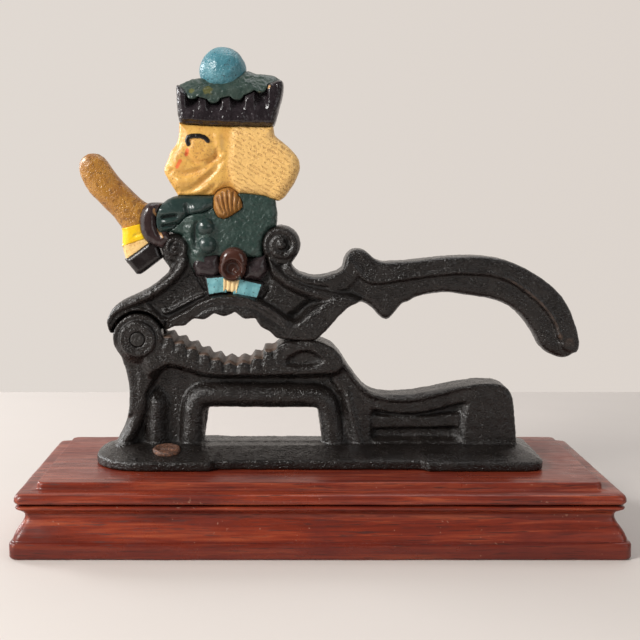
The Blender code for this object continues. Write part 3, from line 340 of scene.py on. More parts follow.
def slab(name, loops, shaping, holes=(), cell=0.55, seat=None, rows=8, joins=()):
    """A casting with relief on both faces, or on the front alone where seat gives its flat back.

    Its edge isn't rounded where it meets one of the outlines that it joins.
    """
    points, faces = filled(loops, holes, cell=cell)
    rims = rim_edges(faces)
    middles = [(points[a] + points[b]) / 2 for a, b in rims]
    rim_points = np.array([points[a] for a, _ in rims] + middles)
    for neighbour in joins:
        rim_points = rim_points[apart(rim_points, closed(neighbour)) > 1.0]
    relief = Relief(points, nearest_to(rim_points, points), 0.0)
    shaping(relief)
    front = -relief.depth
    back = relief.depth if seat is None else np.full(len(points), -seat)
    count = len(points)
    bottom = np.array(sorted({a for a, _ in rims}))
    wall_of = {vert: i for i, vert in enumerate(bottom)}
    layers = [to_row(points[:, 0], depth, points[:, 1]) for depth in (front, back)]
    for row in range(1, rows):
        level = front[bottom] + (back[bottom] - front[bottom]) * row / rows
        layers.append(to_row(points[bottom, 0], level, points[bottom, 1]))

    def wall_below(vert):
        """The points of the wall from a point of the front's rim to the back's."""
        walls = [2 * count + row * len(bottom) + wall_of[vert] for row in range(rows - 1)]
        return [vert, *walls, count + vert]

    quads = []
    for a, b in rims:
        left, right = wall_below(a), wall_below(b)
        quads += [(right[row], left[row], left[row + 1], right[row + 1]) for row in range(rows)]
    polygons = faces.tolist() + (faces[:, ::-1] + count).tolist() + quads
    mesh = bpy.data.meshes.new(name)
    mesh.from_pydata(np.vstack(layers).tolist(), [], polygons)
    return shown(name, mesh)


def shown(name, data):
    obj = bpy.data.objects.new(name, data)
    bpy.context.scene.collection.objects.link(obj)
    return obj


def made(name, shape):
    """An object from a bmesh, which is then freed."""
    mesh = bpy.data.meshes.new(name)
    shape.to_mesh(mesh)
    shape.free()
    return shown(name, mesh)


def loft(name, ring, levels):
    """A closed solid through one outline of (x, y) metres, drawn in by an inset at each height."""
    half = np.abs(ring).max(axis=0)
    shape = bmesh.new()
    rings = []
    for inset, z in levels:
        rings.append([shape.verts.new((x, y, z)) for x, y in ring * (1 - inset / half)])
    return made(name, closed_solid(shape, rings))


def closed_solid(shape, rings):
    """Walls between the rings of points, and a face on the first and the last."""
    for lower, upper in zip(rings, rings[1:]):
        for i in range(len(lower)):
            shape.faces.new((lower[i - 1], lower[i], upper[i], upper[i - 1]))
    shape.faces.new(rings[0][::-1])
    shape.faces.new(rings[-1])
    bmesh.ops.recalc_face_normals(shape, faces=shape.faces)
    return shape


def modified(obj, *steps):
    """Adds modifiers, given as (type, settings), and keeps only the mesh that they make."""
    for kind, settings in steps:
        modifier = obj.modifiers.new(kind, kind)
        for key, value in settings.items():
            setattr(modifier, key, value)
    graph = bpy.context.evaluated_depsgraph_get()
    mesh = bpy.data.meshes.new_from_object(obj.evaluated_get(graph))
    obj.modifiers.clear()
    obj.data = mesh
    return obj


def smoothed(obj, rounds):
    return modified(obj, ("SMOOTH", {"factor": 0.5, "iterations": rounds}))


def joined(obj, *others):
    """Puts the meshes of other objects into one object, which then has several shells."""
    shape = bmesh.new()
    for piece in (obj, *others):
        shape.from_mesh(piece.data)
    shape.to_mesh(obj.data)
    shape.free()
    for piece in others:
        bpy.data.objects.remove(piece)


def coordinates(obj, what="co"):
    values = np.empty(3 * len(obj.data.vertices))
    if what == "co":
        obj.data.vertices.foreach_get("co", values)
    else:
        obj.data.vertex_normals.foreach_get("vector", values)
    return values.reshape(-1, 3)


def roughened(obj, lump, rise, seed=0.0, octaves=2):
    """Pushes the surface in and out by soft lumps of a size and height in millimetres."""
    places = coordinates(obj)
    shift = Vector((seed, 2.7 * seed, -1.3 * seed))
    spots = (Vector(place) / (MM * lump) + shift for place in places)
    heights = np.array([noise.fractal(spot, 0.7, 2.1, octaves) for spot in spots])
    moved_to(obj, places + coordinates(obj, "normal") * (heights * MM * rise)[:, None])


def moved_to(obj, places):
    obj.data.vertices.foreach_set("co", places.ravel())
    obj.data.update()


def edge_marks(obj, reach=3, gain=3.2):
    """Stores how far each point stands out, as proud, or lies in a hollow, as sunk."""
    mesh = obj.data
    places = coordinates(obj)
    normals = coordinates(obj, "normal")
    ends = np.empty(2 * len(mesh.edges), int)
    mesh.edges.foreach_get("vertices", ends)
    a, b = ends.reshape(-1, 2).T
    run = places[b] - places[a]
    run /= np.maximum(np.linalg.norm(run, axis=1), 1e-9)[:, None]
    count = len(places)
    links = np.maximum(np.bincount(a, minlength=count) + np.bincount(b, minlength=count), 1)
    bend = np.bincount(a, -(run * normals[a]).sum(axis=1), count)
    bend += np.bincount(b, (run * normals[b]).sum(axis=1), count)
    bend /= links
    for _ in range(reach):
        bend = (bend + np.bincount(a, bend[b], count) + np.bincount(b, bend[a], count)) / (links + 1)
    stored(obj, "proud", np.clip(gain * bend, 0, 1))
    stored(obj, "sunk", np.clip(-gain * bend, 0, 1))


def stored(obj, name, values):
    layer = obj.data.attributes.get(name) or obj.data.attributes.new(name, "FLOAT", "POINT")
    layer.data.foreach_set("value", values)


def mirrored(obj, name):
    """The same piece on the back face."""
    mesh = obj.data.copy()
    places = coordinates(obj)
    places[:, 1] *= -1
    mesh.vertices.foreach_set("co", places.ravel())
    mesh.flip_normals()
    return shown(name, mesh)


def dressed(obj, finish, body, slot, *nodes):
    """Gives a finished piece its material, its body and the CAD solids that it stands for."""
    obj.data.shade_smooth()
    obj.data.materials.clear()
    obj.data.materials.append(finish)
    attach(obj, body)
    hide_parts(*nodes)


# Shader groups


def placed(tree, kind, values=None, **settings):
    """A node with its settings, and with each named or numbered input set or linked."""
    node = tree.nodes.new(kind)
    for key, value in settings.items():
        setattr(node, key, value)
    for key, value in (values or {}).items():
        feed(tree, node.inputs[key], value)
    return node


def feed(tree, socket, value):
    if isinstance(value, bpy.types.NodeSocket):
        tree.links.new(value, socket)
    else:
        socket.default_value = value


def counted(tree, operation, *values):
    node = placed(tree, "ShaderNodeMath", dict(enumerate(values)), operation=operation)
    return node.outputs[0]


def ranged(tree, value, low, high, to_low=0.0, to_high=1.0):
    values = {"Value": value, "From Min": low, "From Max": high, "To Min": to_low, "To Max": to_high}
    return placed(tree, "ShaderNodeMapRange", values, interpolation_type="SMOOTHSTEP").outputs[0]


def mixed(tree, share, first, second):
    values = {0: share, 6: first, 7: second}
    return placed(tree, "ShaderNodeMix", values, data_type="RGBA").outputs[2]


def noisy(tree, scale, detail=2.0, roughness=0.5, distortion=0.0, vector=None):
    values = {"Scale": scale, "Detail": detail, "Roughness": roughness, "Distortion": distortion}
    values["Vector"] = place_of(tree) if vector is None else vector
    return placed(tree, "ShaderNodeTexNoise", values).outputs["Fac"]


def attribute_of(tree, name):
    return placed(tree, "ShaderNodeAttribute", attribute_name=name).outputs["Fac"]


def place_of(tree):
    return placed(tree, "ShaderNodeTexCoord").outputs["Object"]


def new_group(name, inputs, outputs):
    """A shader group with named sockets: (name, kind, default) and (name, kind)."""
    tree = bpy.data.node_groups.new(name, "ShaderNodeTree")
    for label, kind, value in inputs:
        socket = tree.interface.new_socket(label, in_out="INPUT", socket_type="NodeSocket" + kind)
        socket.default_value = value
    for label, kind in outputs:
        tree.interface.new_socket(label, in_out="OUTPUT", socket_type="NodeSocket" + kind)
    given = tree.nodes.new("NodeGroupInput").outputs
    result = tree.nodes.new("NodeGroupOutput").inputs
    return tree, given, result


def group_cast_grain():
    """The skin of a sand casting under paint: lumps, fine grain and pits, as a height."""
    inputs = (("Lump Scale", "Float", 420.0), ("Grain Scale", "Float", 1500.0), ("Pits", "Float", 0.5))
    tree, given, result = new_group("Cast Grain", inputs, (("Height", "Float"),))
    lumps = noisy(tree, given["Lump Scale"], detail=2.0, roughness=0.55)
    grain = noisy(tree, given["Grain Scale"], detail=2.0, roughness=0.6)
    spot = placed(tree, "ShaderNodeTexVoronoi", {
        "Scale": counted(tree, "MULTIPLY", given["Grain Scale"], 0.55),
        "Vector": place_of(tree),
    }, feature="SMOOTH_F1")
    pit = ranged(tree, spot.outputs["Distance"], 0.05, 0.42)
    sunk = counted(tree, "MULTIPLY", counted(tree, "SUBTRACT", pit, 1.0), given["Pits"])
    height = counted(tree, "MULTIPLY_ADD", lumps, 1.6, counted(tree, "MULTIPLY", grain, 0.7))
    tree.links.new(counted(tree, "ADD", height, sunk), result["Height"])
    return tree


def group_worn_edge():
    """Where paint has rubbed off the proud edges."""
    inputs = (("Amount", "Float", 0.5), ("Patch Scale", "Float", 260.0))
    tree, given, result = new_group("Worn Edge", inputs, (("Mask", "Float"),))
    proud = attribute_of(tree, "proud")
    patches = noisy(tree, given["Patch Scale"], detail=4.0, roughness=0.65)
    reach = counted(tree, "MULTIPLY", proud, counted(tree, "ADD", patches, 0.45))
    start = counted(tree, "SUBTRACT", 1.0, given["Amount"])
    high = counted(tree, "ADD", start, 0.22)
    tree.links.new(ranged(tree, reach, start, high), result["Mask"])
    return tree


def group_hollow_shade():
    """Painted shade: a darker tone where the surface lies in a hollow."""
    inputs = (("Amount", "Float", 0.5), ("Patch Scale", "Float", 300.0))
    tree, given, result = new_group("Hollow Shade", inputs, (("Mask", "Float"),))
    sunk = attribute_of(tree, "sunk")
    patches = noisy(tree, given["Patch Scale"], detail=3.0, roughness=0.6)
    reach = counted(tree, "MULTIPLY", sunk, counted(tree, "ADD", patches, 0.5))
    mask = counted(tree, "MULTIPLY", ranged(tree, reach, 0.05, 0.6), given["Amount"])
    tree.links.new(mask, result["Mask"])
    return tree


def group_mottle():
    """Hand-brushed enamel: two tones in soft clouds."""
    inputs = (
        ("Tone", "Color", (0.5, 0.5, 0.5, 1)),
        ("Second Tone", "Color", (0.3, 0.3, 0.3, 1)),
        ("Cloud Scale", "Float", 120.0),
        ("Share", "Float", 0.5),
    )
    tree, given, result = new_group("Mottle", inputs, (("Color", "Color"), ("Mask", "Float")))
    clouds = noisy(tree, given["Cloud Scale"], detail=5.0, roughness=0.62, distortion=0.4)
    middle = counted(tree, "SUBTRACT", 1.02, given["Share"])
    low = counted(tree, "SUBTRACT", middle, 0.2)
    high = counted(tree, "ADD", middle, 0.2)
    mask = ranged(tree, clouds, low, high)
    tree.links.new(mixed(tree, mask, given["Tone"], given["Second Tone"]), result["Color"])
    tree.links.new(mask, result["Mask"])
    return tree


def group_specks():
    """Small specks: chips, dust or pinholes."""
    inputs = (("Speck Scale", "Float", 900.0), ("Share", "Float", 0.1))
    tree, given, result = new_group("Specks", inputs, (("Mask", "Float"),))
    fine = noisy(tree, given["Speck Scale"], detail=1.0, roughness=0.5)
    patches = noisy(tree, counted(tree, "MULTIPLY", given["Speck Scale"], 0.11), detail=2.0, roughness=0.5)
    both = counted(tree, "MULTIPLY_ADD", patches, 0.35, fine)
    start = counted(tree, "SUBTRACT", 0.98, given["Share"])
    high = counted(tree, "ADD", start, 0.05)
    tree.links.new(ranged(tree, both, start, high), result["Mask"])
    return tree


def group_spot():
    """One irregular patch of another colour, round a place in the row frame."""
    inputs = (("Place", "Vector", (0, 0, 0)), ("Radius", "Float", 0.002), ("Ragged", "Float", 0.4))
    tree, given, result = new_group("Spot", inputs, (("Mask", "Float"),))
    ends = {0: place_of(tree), 1: given["Place"]}
    away = placed(tree, "ShaderNodeVectorMath", ends, operation="DISTANCE").outputs["Value"]
    wobble = counted(tree, "MULTIPLY", noisy(tree, 900.0, detail=2.0, roughness=0.5), given["Ragged"])
    size = counted(tree, "MULTIPLY", given["Radius"], counted(tree, "SUBTRACT", 1.25, wobble))
    share = counted(tree, "DIVIDE", away, size)
    tree.links.new(ranged(tree, share, 0.7, 1.0, to_low=1.0, to_high=0.0), result["Mask"])
    return tree


CAST_GRAIN = group_cast_grain()
WORN_EDGE = group_worn_edge()
HOLLOW_SHADE = group_hollow_shade()
MOTTLE = group_mottle()
SPECKS = group_specks()
SPOT = group_spot()


ROUGHNESS_SPREAD = 0.12


class Finish:
    """A material built up in coats; each coat covers the last where its mask says."""

    def __init__(self, name, tone, second, cloud_scale=120.0, share=0.45, roughness=0.4):
        self.material = bpy.data.materials.new(name)
        self.material.use_nodes = True
        self.tree = self.material.node_tree
        self.shader = self.tree.nodes["Principled BSDF"]
        values = {"Tone": (*tone, 1), "Second Tone": (*second, 1)}
        clouds = self.group(MOTTLE, {**values, "Cloud Scale": cloud_scale, "Share": share})
        self.colour = clouds.outputs["Color"]
        duller = roughness + ROUGHNESS_SPREAD
        self.rough = ranged(self.tree, clouds.outputs["Mask"], 0.0, 1.0, to_low=roughness, to_high=duller)
        self.height = None

    def group(self, which, values):
        node = self.tree.nodes.new("ShaderNodeGroup")
        node.node_tree = which
        for key, value in values.items():
            feed(self.tree, node.inputs[key], value)
        return node

    def coat(self, mask, tone, roughness=None, share=1.0):
        """A coat of another tone where the mask is."""
        if share != 1.0:
            mask = counted(self.tree, "MULTIPLY", mask, share)
        self.colour = mixed(self.tree, mask, self.colour, (*tone, 1))
        if roughness is not None:
            values = {0: mask, 2: self.rough, 3: roughness}
            self.rough = placed(self.tree, "ShaderNodeMix", values, data_type="FLOAT").outputs[0]
        return self

    def worn(self, tone, amount, patch_scale=260.0, roughness=0.6, share=1.0):
        mask = self.group(WORN_EDGE, {"Amount": amount, "Patch Scale": patch_scale}).outputs["Mask"]
        return self.coat(mask, tone, roughness=roughness, share=share)

    # Painted shade: the hollows take a darker tone.
    def shaded_hollows(self, tone, amount, patch_scale=300.0, roughness=0.8):
        mask = self.group(HOLLOW_SHADE, {"Amount": amount, "Patch Scale": patch_scale}).outputs["Mask"]
        return self.coat(mask, tone, roughness=roughness)

    def specked(self, tone, speck_scale, share, roughness=None, strength=1.0):
        mask = self.group(SPECKS, {"Speck Scale": speck_scale, "Share": share}).outputs["Mask"]
        return self.coat(mask, tone, roughness=roughness, share=strength)

    def spot(self, place, radius, tone, ragged=0.5, share=1.0):
        """A patch at a place given in millimetres from the pivot."""
        values = {"Place": PIVOT + MM * Vector(place), "Radius": MM * radius, "Ragged": ragged}
        return self.coat(self.group(SPOT, values).outputs["Mask"], tone, share=share)

    def painted(self, attribute, tone, roughness=None):
        """A coat with a plain edge, where an attribute of the mesh is over a half."""
        value = attribute_of(self.tree, attribute)
        wobble = noisy(self.tree, 900.0, detail=2.0, roughness=0.5)
        ragged = counted(self.tree, "MULTIPLY_ADD", wobble, 0.3, value)
        return self.coat(ranged(self.tree, ragged, 0.56, 0.72), tone, roughness=roughness)

    def marked(self, attribute, tone, roughness=None, share=1.0, patch_scale=350.0):
        """A coat that follows an attribute of the mesh, broken up by noise."""
        value = attribute_of(self.tree, attribute)
        patches = noisy(self.tree, patch_scale, detail=4.0, roughness=0.65)
        reach = counted(self.tree, "MULTIPLY", value, counted(self.tree, "ADD", patches, 0.5))
        return self.coat(ranged(self.tree, reach, 0.35, 0.75), tone, roughness=roughness, share=share)

    def grained(self, lump_scale, grain_scale, pits, distance, strength=1.0):
        """The casting's skin as relief, its distance in millimetres."""
        values = {"Lump Scale": lump_scale, "Grain Scale": grain_scale, "Pits": pits}
        self.embossed(self.group(CAST_GRAIN, values).outputs["Height"], distance, strength=strength)
        return self

    def embossed(self, height, distance, strength=1.0):
        values = {"Height": height, "Distance": MM * distance, "Strength": strength}
        bump = placed(self.tree, "ShaderNodeBump", values)
        if self.height is not None:
            self.tree.links.new(self.height, bump.inputs["Normal"])
        self.height = bump.outputs["Normal"]
        return self

    def done(self, **sockets):
        self.tree.links.new(self.colour, self.shader.inputs["Base Color"])
        self.tree.links.new(self.rough, self.shader.inputs["Roughness"])
        if self.height is not None:
            self.tree.links.new(self.height, self.shader.inputs["Normal"])
        for label, value in sockets.items():
            self.shader.inputs[label.replace("_", " ")].default_value = value
        return self.material


# Finishes

IRON_BROWN = (0.085, 0.052, 0.036)
DUST = (0.16, 0.14, 0.12)

IRON = (
    Finish(
        "black_iron", (0.0085, 0.0067, 0.0060), (0.0140, 0.0108, 0.0094),
        cloud_scale=110.0, share=0.5, roughness=0.19,
    )
    .worn((0.034, 0.024, 0.018), 0.46, patch_scale=240.0, roughness=0.28, share=0.8)
    .marked("browned", IRON_BROWN, roughness=0.5)
    # painted shade in the hollows
    .shaded_hollows((0.005, 0.004, 0.0035), 0.9)
    .specked(DUST, 1300.0, 0.07, roughness=0.5, strength=0.4)
    .grained(900.0, 1700.0, pits=0.6, distance=0.25)
    .done(Specular_IOR_Level=0.50)
)

STEEL = (
    Finish(
        "pin_steel", (0.016, 0.014, 0.013), (0.024, 0.021, 0.019),
        cloud_scale=300.0, share=0.5, roughness=0.34,
    )
    .worn((0.045, 0.038, 0.034), 0.40)
    .grained(600.0, 1400.0, pits=0.5, distance=0.22)
    .done(Metallic=0.2)
)

RUST = (
    Finish(
        "screw_rust", (0.125, 0.058, 0.036), (0.052, 0.025, 0.016),
        cloud_scale=600.0, share=0.5, roughness=0.45,
    )
    # lighter rims: rubbed metal and a painted highlight
    .worn((0.60, 0.37, 0.26), 0.60, patch_scale=500.0, roughness=0.32)
    # painted shade in the slot and the hollows
    .shaded_hollows((0.012, 0.007, 0.005), 1.0)
    .specked((0.30, 0.13, 0.07), 1200.0, 0.2)
    .grained(900.0, 1800.0, pits=0.8, distance=0.30)
    .done()
)


FOOT_SHADE_HEIGHTS = (0.0092, 0.0078)  # heights over which painted shade darkens the wood towards the underside


def wood_finish():
    """Red-brown stain over straight grain that runs along the board, with painted shade towards the
    underside.
    """
    wood = Finish(
        "stained_wood", (0.225, 0.032, 0.014), (0.150, 0.016, 0.007),
        cloud_scale=30.0, share=0.5, roughness=0.26,
    )
    tree = wood.tree
    where = place_of(tree)
    drawn_out = {"Vector": where, "Scale": (0.045, 1.0, 1.0)}
    stretched = placed(tree, "ShaderNodeMapping", drawn_out).outputs[0]
    bands = noisy(tree, 420.0, detail=4.0, roughness=0.6, distortion=0.6, vector=stretched)
    height = placed(tree, "ShaderNodeSeparateXYZ", {"Vector": where}).outputs["Z"]
    pores = noisy(tree, 1500.0, detail=2.0, roughness=0.6, distortion=0.2, vector=stretched)
    wood.coat(ranged(tree, bands, 0.42, 0.68), (0.088, 0.013, 0.0075), share=0.75)
    wood.coat(ranged(tree, bands, 0.50, 0.30), (0.340, 0.072, 0.028), share=0.7)
    # painted shade: darker towards the underside, near the floor
    wood.coat(ranged(tree, height, *FOOT_SHADE_HEIGHTS), (0.090, 0.008, 0.004), share=0.55)
    wood.coat(ranged(tree, pores, 0.56, 0.68), (0.040, 0.007, 0.004), roughness=0.6, share=0.75)
    wood.worn((0.40, 0.140, 0.075), 0.54, patch_scale=300.0, roughness=0.36, share=0.8)
    # painted shade in the hollows
    wood.shaded_hollows((0.024, 0.005, 0.003), 0.9)
    wood.specked((0.40, 0.20, 0.13), 700.0, 0.06, roughness=0.7, strength=0.5)
    wood.embossed(pores, 0.05)
    wood.embossed(bands, 0.12, strength=0.6)
    return wood.done(Specular_IOR_Level=0.42)


WOOD = wood_finish()

COAT_GREEN = (
    Finish(
        "coat_green", (0.020, 0.041, 0.034), (0.031, 0.056, 0.047),
        cloud_scale=160.0, share=0.5, roughness=0.31,
    )
    .worn((0.050, 0.076, 0.064), 0.34, patch_scale=300.0, roughness=0.32, share=0.6)
    # painted shade in the hollows
    .shaded_hollows((0.008, 0.014, 0.013), 0.9)
    .grained(420.0, 1000.0, pits=0.5, distance=0.19)
    .done()
)

SLEEVE_GREEN = (
    Finish(
        "sleeve_green", (0.019, 0.036, 0.033), (0.030, 0.050, 0.046),
        cloud_scale=160.0, share=0.5, roughness=0.18,
    )
    .worn((0.060, 0.078, 0.070), 0.38, patch_scale=300.0, roughness=0.28, share=0.6)
    # painted shade in the hollows
    .shaded_hollows((0.010, 0.013, 0.012), 0.9)
    .grained(300.0, 1100.0, pits=0.3, distance=0.11)
    .done()
)

CROWN_GREEN = (
    Finish(
        "crown_green", (0.026, 0.046, 0.038), (0.042, 0.064, 0.052),
        cloud_scale=170.0, share=0.5, roughness=0.28,
    )
    .worn((0.16, 0.13, 0.07), 0.44, patch_scale=260.0, roughness=0.4, share=0.8)
    # painted shade in the hollows
    .shaded_hollows((0.016, 0.018, 0.016), 0.8)
    .spot((34.5, -9, 117.2), 3.6, (0.095, 0.090, 0.022), ragged=0.9, share=0.85)
    .spot((26.6, -9, 117.6), 2.0, (0.105, 0.105, 0.026), ragged=0.9, share=0.85)
    .grained(480.0, 1300.0, pits=0.4, distance=0.14)
    .done()
)

CAP_BLACK = (
    Finish(
        "cap_black", (0.016, 0.012, 0.014), (0.034, 0.026, 0.030),
        cloud_scale=180.0, share=0.45, roughness=0.17,
    )
    .worn((0.13, 0.085, 0.05), 0.40, patch_scale=280.0, roughness=0.34, share=0.8)
    # painted shade in the hollows
    .shaded_hollows((0.010, 0.013, 0.012), 0.7)
    .spot((24.5, -11, 117.2), 1.2, (0.50, 0.30, 0.14))
    .spot((62.5, -11, 119.5), 1.5, (0.50, 0.30, 0.14))
    .grained(420.0, 1100.0, pits=0.5, distance=0.22)
    .done()
)

FERRULE_BLACK = (
    Finish(
        "ferrule_black", (0.012, 0.009, 0.009), (0.020, 0.016, 0.016),
        cloud_scale=200.0, share=0.4, roughness=0.24,
    )
    .worn((0.050, 0.046, 0.044), 0.36, patch_scale=400.0, roughness=0.3)
    .grained(300.0, 1200.0, pits=0.3, distance=0.07)
    .done()
)

HAIR_SLANT = -30  # degrees, of the rows of ticks


def face_finish():
    """Golden enamel, paler over the hair, where darker ticks stand in slanting rows."""
    face = Finish(
        "face_ochre", (0.74, 0.425, 0.104), (0.65, 0.325, 0.064),
        cloud_scale=130.0, share=0.45, roughness=0.32,
    )
    tree = face.tree
    hair = ranged(tree, attribute_of(tree, "hair"), 0.2, 0.8)
    face.coat(hair, (0.84, 0.52, 0.182), roughness=0.38, share=0.85)
    face.worn((0.90, 0.61, 0.25), 0.45, patch_scale=200.0, roughness=0.4, share=0.6)
    # painted shade in the creases and hollows
    face.shaded_hollows((0.50, 0.19, 0.036), 1.0)
    face.specked((0.33, 0.13, 0.035), 1150.0, 0.17, roughness=0.7, strength=0.6)
    where = place_of(tree)
    slant = {"Vector": where, "Rotation": (0, math.radians(HAIR_SLANT), 0)}
    turned = placed(tree, "ShaderNodeMapping", slant).outputs[0]
    waves = {"Vector": turned, "Scale": 150.0, "Distortion": 0.8}
    rows = placed(tree, "ShaderNodeTexWave", waves, bands_direction="Z")
    stretch = {"Vector": turned, "Scale": (0.38, 1.0, 1.0)}
    drawn_out = placed(tree, "ShaderNodeMapping", stretch).outputs[0]
    ticks = noisy(tree, 950.0, detail=1.0, roughness=0.5, vector=drawn_out)
    row = ranged(tree, rows.outputs["Fac"], 0.45, 0.95)
    tick = counted(tree, "MULTIPLY", row, ranged(tree, ticks, 0.46, 0.56))
    tick = counted(tree, "MULTIPLY", tick, attribute_of(tree, "hair"))
    face.coat(tick, (0.52, 0.25, 0.075), roughness=0.5, share=0.40)
    face.embossed(counted(tree, "MULTIPLY", tick, -1.0), 0.26)
    face.painted("eye", (0.014, 0.011, 0.010), roughness=0.22)
    face.painted("blush", (0.78, 0.17, 0.045), roughness=0.4)
    face.grained(420.0, 1300.0, pits=0.6, distance=0.12)
    return face.done()


FACE_OCHRE = face_finish()

FIST_OCHRE = (
    Finish(
        "fist_ochre", (0.40, 0.19, 0.048), (0.25, 0.10, 0.022),
        cloud_scale=240.0, share=0.5, roughness=0.28,
    )
    .worn((0.66, 0.38, 0.14), 0.50, patch_scale=260.0, roughness=0.4)
    # painted shade in the hollows between the fingers
    .shaded_hollows((0.10, 0.032, 0.010), 1.0)
    .grained(420.0, 1300.0, pits=0.4, distance=0.10)
    .done()
)

BATON_GOLD = (
    Finish(
        "baton_gold", (0.43, 0.200, 0.034), (0.27, 0.105, 0.016),
        cloud_scale=110.0, share=0.5, roughness=0.27,
    )
    .worn((0.58, 0.35, 0.09), 0.40, patch_scale=240.0, roughness=0.3, share=0.6)
    .specked((0.62, 0.38, 0.11), 900.0, 0.14, roughness=0.35, strength=0.4)
    .specked((0.14, 0.052, 0.010), 460.0, 0.22, roughness=0.5, strength=0.5)
    .spot((-26.5, -6, 86.5), 2.6, (0.80, 0.70, 0.52))
    .grained(560.0, 1500.0, pits=0.6, distance=0.24)
    .done()
)

BAND_YELLOW = (
    Finish(
        "band_yellow", (0.90, 0.60, 0.012), (0.84, 0.40, 0.010),
        cloud_scale=180.0, share=0.4, roughness=0.28,
    )
    .worn((0.96, 0.78, 0.16), 0.45, patch_scale=200.0, roughness=0.35, share=0.7)
    # painted shade in the hollows
    .shaded_hollows((0.40, 0.16, 0.012), 0.8)
    .grained(300.0, 1200.0, pits=0.2, distance=0.06)
    .done()
)

BAND_CREAM = (
    Finish(
        "band_cream", (0.84, 0.58, 0.24), (0.78, 0.47, 0.155),
        cloud_scale=180.0, share=0.45, roughness=0.36,
    )
    .specked((0.50, 0.24, 0.07), 1000.0, 0.16, roughness=0.6, strength=0.6)
    # painted shade in the hollows
    .shaded_hollows((0.36, 0.18, 0.06), 0.8)
    .grained(420.0, 1300.0, pits=0.3, distance=0.07)
    .done()
)

POMPOM_BLUE = (
    Finish(
        "pompom_blue", (0.056, 0.190, 0.238), (0.100, 0.255, 0.298),
        cloud_scale=130.0, share=0.5, roughness=0.25,
    )
    .worn((0.26, 0.42, 0.44), 0.40, patch_scale=200.0, roughness=0.36, share=0.8)
    .specked((0.030, 0.060, 0.075), 620.0, 0.10, roughness=0.7, strength=0.8)
    .spot((40.5, -9, 118.5), 2.6, (0.120, 0.150, 0.045), ragged=0.7, share=0.8)
    .grained(300.0, 1000.0, pits=0.5, distance=0.34)
    .done()
)

RIBBON_BLUE = (
    Finish(
        "ribbon_blue", (0.130, 0.340, 0.375), (0.190, 0.420, 0.445),
        cloud_scale=240.0, share=0.5, roughness=0.34,
    )
    .worn((0.34, 0.55, 0.56), 0.46, patch_scale=260.0, roughness=0.4, share=0.6)
    .specked((0.030, 0.055, 0.060), 900.0, 0.16, roughness=0.7, strength=0.8)
    .painted("lined", (0.014, 0.012, 0.012), roughness=0.35)
    .grained(420.0, 1300.0, pits=0.6, distance=0.10)
    .done()
)

CLASP_CREAM = (
    Finish(
        "clasp_cream", (0.86, 0.63, 0.32), (0.80, 0.53, 0.22),
        cloud_scale=260.0, share=0.45, roughness=0.38,
    )
    # painted shade in the hollows between the folds
    .shaded_hollows((0.42, 0.22, 0.08), 1.0)
    .grained(420.0, 1300.0, pits=0.3, distance=0.06)
    .done()
)

CUFF_BROWN = (
    Finish(
        "cuff_brown", (0.030, 0.018, 0.018), (0.056, 0.036, 0.036),
        cloud_scale=170.0, share=0.45, roughness=0.15,
    )
    .worn((0.17, 0.13, 0.12), 0.50, patch_scale=300.0, roughness=0.34, share=0.7)
    # painted shade in the hollows
    .shaded_hollows((0.016, 0.008, 0.007), 0.8)
    .painted("gold", (0.40, 0.21, 0.085), roughness=0.4)
    .grained(260.0, 1000.0, pits=0.3, distance=0.10)
    .done()
)

BOSS_BROWN = (
    Finish(
        "boss_brown", (0.048, 0.017, 0.011), (0.078, 0.034, 0.026),
        cloud_scale=180.0, share=0.5, roughness=0.14,
    )
    .worn((0.20, 0.12, 0.10), 0.44, patch_scale=300.0, roughness=0.24, share=0.7)
    # painted shade in the hollows
    .shaded_hollows((0.022, 0.006, 0.004), 0.9)
    .grained(260.0, 1000.0, pits=0.3, distance=0.10)
    .done()
)

BELT_PURPLE = (
    Finish(
        "belt_purple", (0.020, 0.014, 0.015), (0.040, 0.029, 0.031),
        cloud_scale=180.0, share=0.5, roughness=0.18,
    )
    .worn((0.10, 0.085, 0.08), 0.44, patch_scale=300.0, roughness=0.3, share=0.7)
    # painted shade in the hollows
    .shaded_hollows((0.012, 0.008, 0.008), 0.8)
    .grained(300.0, 1000.0, pits=0.4, distance=0.12)
    .done()
)


# Plinth

BOARD_CORNER = 0.0036
CORNER_STEPS = 6
FLAT_INSETS = (0.030, 0.0595)  # rings on the flat top, so that it too can have lumps
LOWER_RISES = (
    (0.0009, 0.0), (0.0003, 0.0005), (0, 0.0012), (0, 0.0068), (0.0003, 0.0075), (0.0010, 0.0078),
    (0.0014, 0.0082), (0.0016, 0.0094), (0.0026, 0.0118), (0.0040, 0.0140), (0.0054, 0.0160),
    (0.0062, 0.0178), (0.0062, 0.0194), (0.0054, 0.0206), (0.0038, 0.0217), (0.0028, 0.0224),
)
LOWER_DROPS = ((0.0026, 0.0008), (0.0030, 0.0004), (0.0046, 0))
LOWER_LUMPS = ((22.0, 0.16, 3.0), (4.0, 0.07, 5.0))  # size and height in millimetres, and seed
UPPER_RISES = (
    (0.0046, 0), (0.0028, 0.0005), (0.0021, 0.0016), (0.0022, 0.0030), (0.0027, 0.0042), (0.0036, 0.0049),
    (0.0050, 0.0052), (0.0106, 0.0053), (0.0110, 0.0058), (0.0111, 0.0078),
)
UPPER_DROPS = ((0.0116, 0.0001), (0.0124, 0))
UPPER_LUMPS = ((18.0, 0.12, 9.0), (4.0, 0.06, 11.0))


def board_ring(length, width, corner, step=0.004):
    """A rectangle with rounded corners, as seen from above."""
    loop = []
    for turn, (side_x, side_y) in enumerate(((1, 1), (-1, 1), (-1, -1), (1, -1))):
        for k in range(CORNER_STEPS + 1):
            angle = math.radians(90 * (turn + k / CORNER_STEPS))
            x = side_x * (length / 2 - corner) + corner * math.cos(angle)
            y = side_y * (width / 2 - corner) + corner * math.sin(angle)
            loop.append((x, y))
    return spaced(np.array(loop), step)


